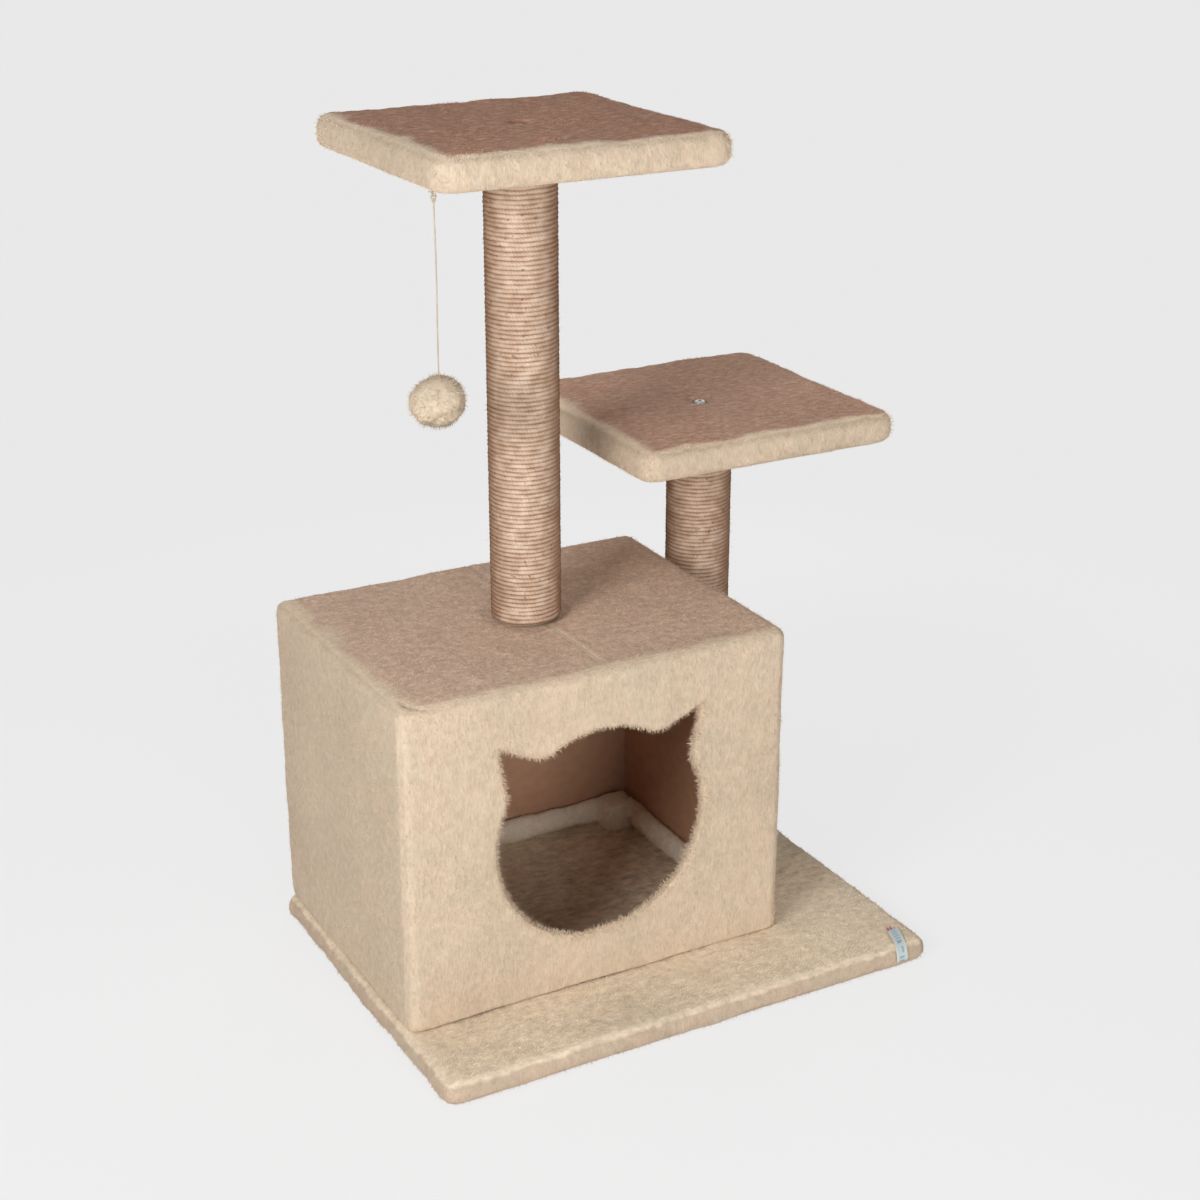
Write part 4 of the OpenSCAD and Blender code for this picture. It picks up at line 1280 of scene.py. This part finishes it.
# The label sewn over the base's front edge
label = {
    # the ribbon's line over the base's front edge: (y from the edge, z), in metres
    "line": [(0.036, 0.0284), (0.027, 0.0290), (0.018, 0.0291), (0.010, 0.0280), (0.004, 0.0249),
             (-0.0007, 0.0200), (-0.0023, 0.0150), (-0.0023, 0.0100)],
    "skew": 0.0065,  # how far its upper end lies to the right, and its lower end to the left
    "steps": 10,
    "wave": (0.011, 0.0009),
    "thick": 0.0007,
    "threads": 6,
    "threadStep": 0.0012,
    "threadLevel": 0.0292,
}


def makeLabel():
    low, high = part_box("label_tag")
    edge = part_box("base_cover")[0].y
    steps, skew = label["steps"], label["skew"]
    form = bmesh.new()
    spots = [form.verts.new((low.x, edge + y, z)) for y, z in label["line"]]
    edges = [form.edges.new(pair) for pair in zip(spots, spots[1:])]
    for step in range(steps):
        grown = bmesh.ops.extrude_edge_only(form, edges=edges)["geom"]
        fresh = [g for g in grown if isinstance(g, bmesh.types.BMVert)]
        edges = [g for g in grown if isinstance(g, bmesh.types.BMEdge)
                 and all(v in fresh for v in g.verts)]
        bmesh.ops.translate(form, vec=((high.x - low.x) / steps, 0, 0), verts=fresh)
    bmesh.ops.subdivide_edges(form, edges=form.edges[:], cuts=1, use_grid_fill=True)
    bmesh.ops.recalc_face_normals(form, faces=form.faces)
    ribbon = pieceFrom("labelRibbon", form)
    top, foot = label["line"][0][0], label["line"][-1][0]
    size, height = label["wave"]
    across, along = [], []

    def shape(place, normal):
        across.append((place.x - low.x) / (high.x - low.x) * 2 - 1)
        along.append(place.y - edge - place.z)
        wave = height * noise.noise(place / size + Vector((3, 1, 8)))
        slide = 2 * (place.y - edge - foot) / (top - foot) - 1
        return place + Vector((skew * slide, -0.4 * wave, 0.6 * wave))

    reshape(ribbon, shape)
    storeValues(ribbon, across=across, along=along)
    solid = ribbon.modifiers.new("cloth", "SOLIDIFY")
    solid.thickness = label["thick"]
    solid.offset = 0
    smooth = ribbon.modifiers.new("smooth", "SUBSURF")
    smooth.levels = smooth.render_levels = 1
    applyModifiers(ribbon)
    wear(shadeRound(ribbon), ribbonCloth, "tree", "tag", "label_tag")
    # a few loops of thread hold its upper end
    form = bmesh.new()
    thread = label["threadStep"]
    for index in range(label["threads"]):
        place = Vector((low.x + skew + 0.0008 + index * thread,
                        edge + top - 0.0005 + thread * (index % 3), label["threadLevel"]))
        bmesh.ops.create_cone(form, cap_ends=True, segments=6, radius1=0.0006, radius2=0.0004, depth=0.0052,
                              matrix=Matrix.Translation(place) @ Matrix.Rotation(1.5 + 0.2 * index, 4, "X")
                              @ Matrix.Rotation(0.3 * (index % 3 - 1), 4, "Y"))
    wear(shadeRound(pieceFrom("labelThread", form)), redThread, "tree", "tag")


print("label")
makeLabel()

# The floor, the backdrop and the lights
studio = {
    "backdrop": 0.812,
    "floorGlow": 0.915,  # glow and share of real light beside the object, where shadows fall
    "floorShare": 0.20,
    "floorLevel": -0.0006,
    "nearFloor": (1.0, 1.7),  # from here on the floor fades into the plain backdrop
    "horizon": 0.10,  # the sky's strength low down and overhead
    "zenith": 0.44,
    # each softbox stands at an angle from the front towards the left, at a height
    "softboxes": [
        {"name": "key", "angle": 60, "height": 1.5, "side": 1.0, "power": 43},
        {"name": "fill", "angle": 6, "height": 0.65, "side": 1.2, "power": 30},
        {"name": "back", "angle": 214, "height": 1.0, "side": 1.6, "power": 14},
    ],
    "away": 2.6,
    "aim": (-0.06, 0, 0.4),
}


def addSoftbox(settings):
    lamp = bpy.data.lights.new(settings["name"], "AREA")
    lamp.shape = "SQUARE"
    lamp.size = settings["side"]
    lamp.energy = settings["power"]
    holder = linkPiece(settings["name"], lamp)
    aim, turn = Vector(studio["aim"]), math.radians(settings["angle"])
    holder.location = (aim.x - studio["away"] * math.sin(turn), aim.y - studio["away"] * math.cos(turn),
                       settings["height"])
    holder.rotation_euler = (holder.location - aim).to_track_quat("Z", "Y").to_euler()
    holder.visible_camera = False


def clearTree(owner):
    owner.use_nodes = True
    owner.node_tree.nodes.clear()
    return owner.node_tree


def makeFloor():
    form = bmesh.new()
    bmesh.ops.create_grid(form, x_segments=1, y_segments=1, size=30)
    bmesh.ops.translate(form, vec=(0, 0, studio["floorLevel"]), verts=form.verts)
    floor = pieceFrom("floor", form)
    material = bpy.data.materials.new("paleFloor")
    tree = clearTree(material)
    shade = studio["backdrop"]
    matt = addNode(tree, "ShaderNodeBsdfDiffuse", {"Color": (shade, shade, shade, 1)}).outputs[0]
    place = tree.nodes.new("ShaderNodeTexCoord").outputs["Object"]
    away = addNode(tree, "ShaderNodeVectorMath", {0: place}, operation="LENGTH").outputs["Value"]
    far = spanNode(tree, away, *studio["nearFloor"], shape="SMOOTHSTEP")
    glow = addNode(tree, "ShaderNodeEmission", {
        "Color": (1, 1, 1, 1), "Strength": mixValues(tree, far, studio["floorGlow"], shade)}).outputs[0]
    seen = tree.nodes.new("ShaderNodeLightPath").outputs["Is Camera Ray"]
    share = times(tree, seen, mixValues(tree, far, 1 - studio["floorShare"], 1))
    top = addNode(tree, "ShaderNodeMixShader", {0: share, 1: matt, 2: glow}).outputs[0]
    behind = tree.nodes.new("ShaderNodeNewGeometry").outputs["Backfacing"]
    clear = tree.nodes.new("ShaderNodeBsdfTransparent").outputs[0]
    both = addNode(tree, "ShaderNodeMixShader", {0: behind, 1: top, 2: clear}).outputs[0]
    addNode(tree, "ShaderNodeOutputMaterial", {"Surface": both})
    floor.data.materials.append(material)


def makeWorld():
    scene.world = bpy.data.worlds.new("studio")
    tree = clearTree(scene.world)
    path = tree.nodes.new("ShaderNodeLightPath").outputs
    seen = mathNode(tree, "MAXIMUM", path["Is Camera Ray"], mathNode(
        tree, "MAXIMUM", path["Is Glossy Ray"], path["Is Transmission Ray"]))
    up = separate(tree, tree.nodes.new("ShaderNodeTexCoord").outputs["Generated"])["Z"]
    sky = spanNode(tree, up, 0.45, 0.95, studio["horizon"], studio["zenith"], "SMOOTHSTEP")
    light = addNode(tree, "ShaderNodeBackground", {
        "Color": (1, 1, 1, 1), "Strength": mixValues(tree, seen, sky, studio["backdrop"])}).outputs[0]
    addNode(tree, "ShaderNodeOutputWorld", {"Surface": light})


print("studio")
makeFloor()
makeWorld()
for softbox in studio["softboxes"]:
    addSoftbox(softbox)
scene.view_settings.view_transform = "Standard"
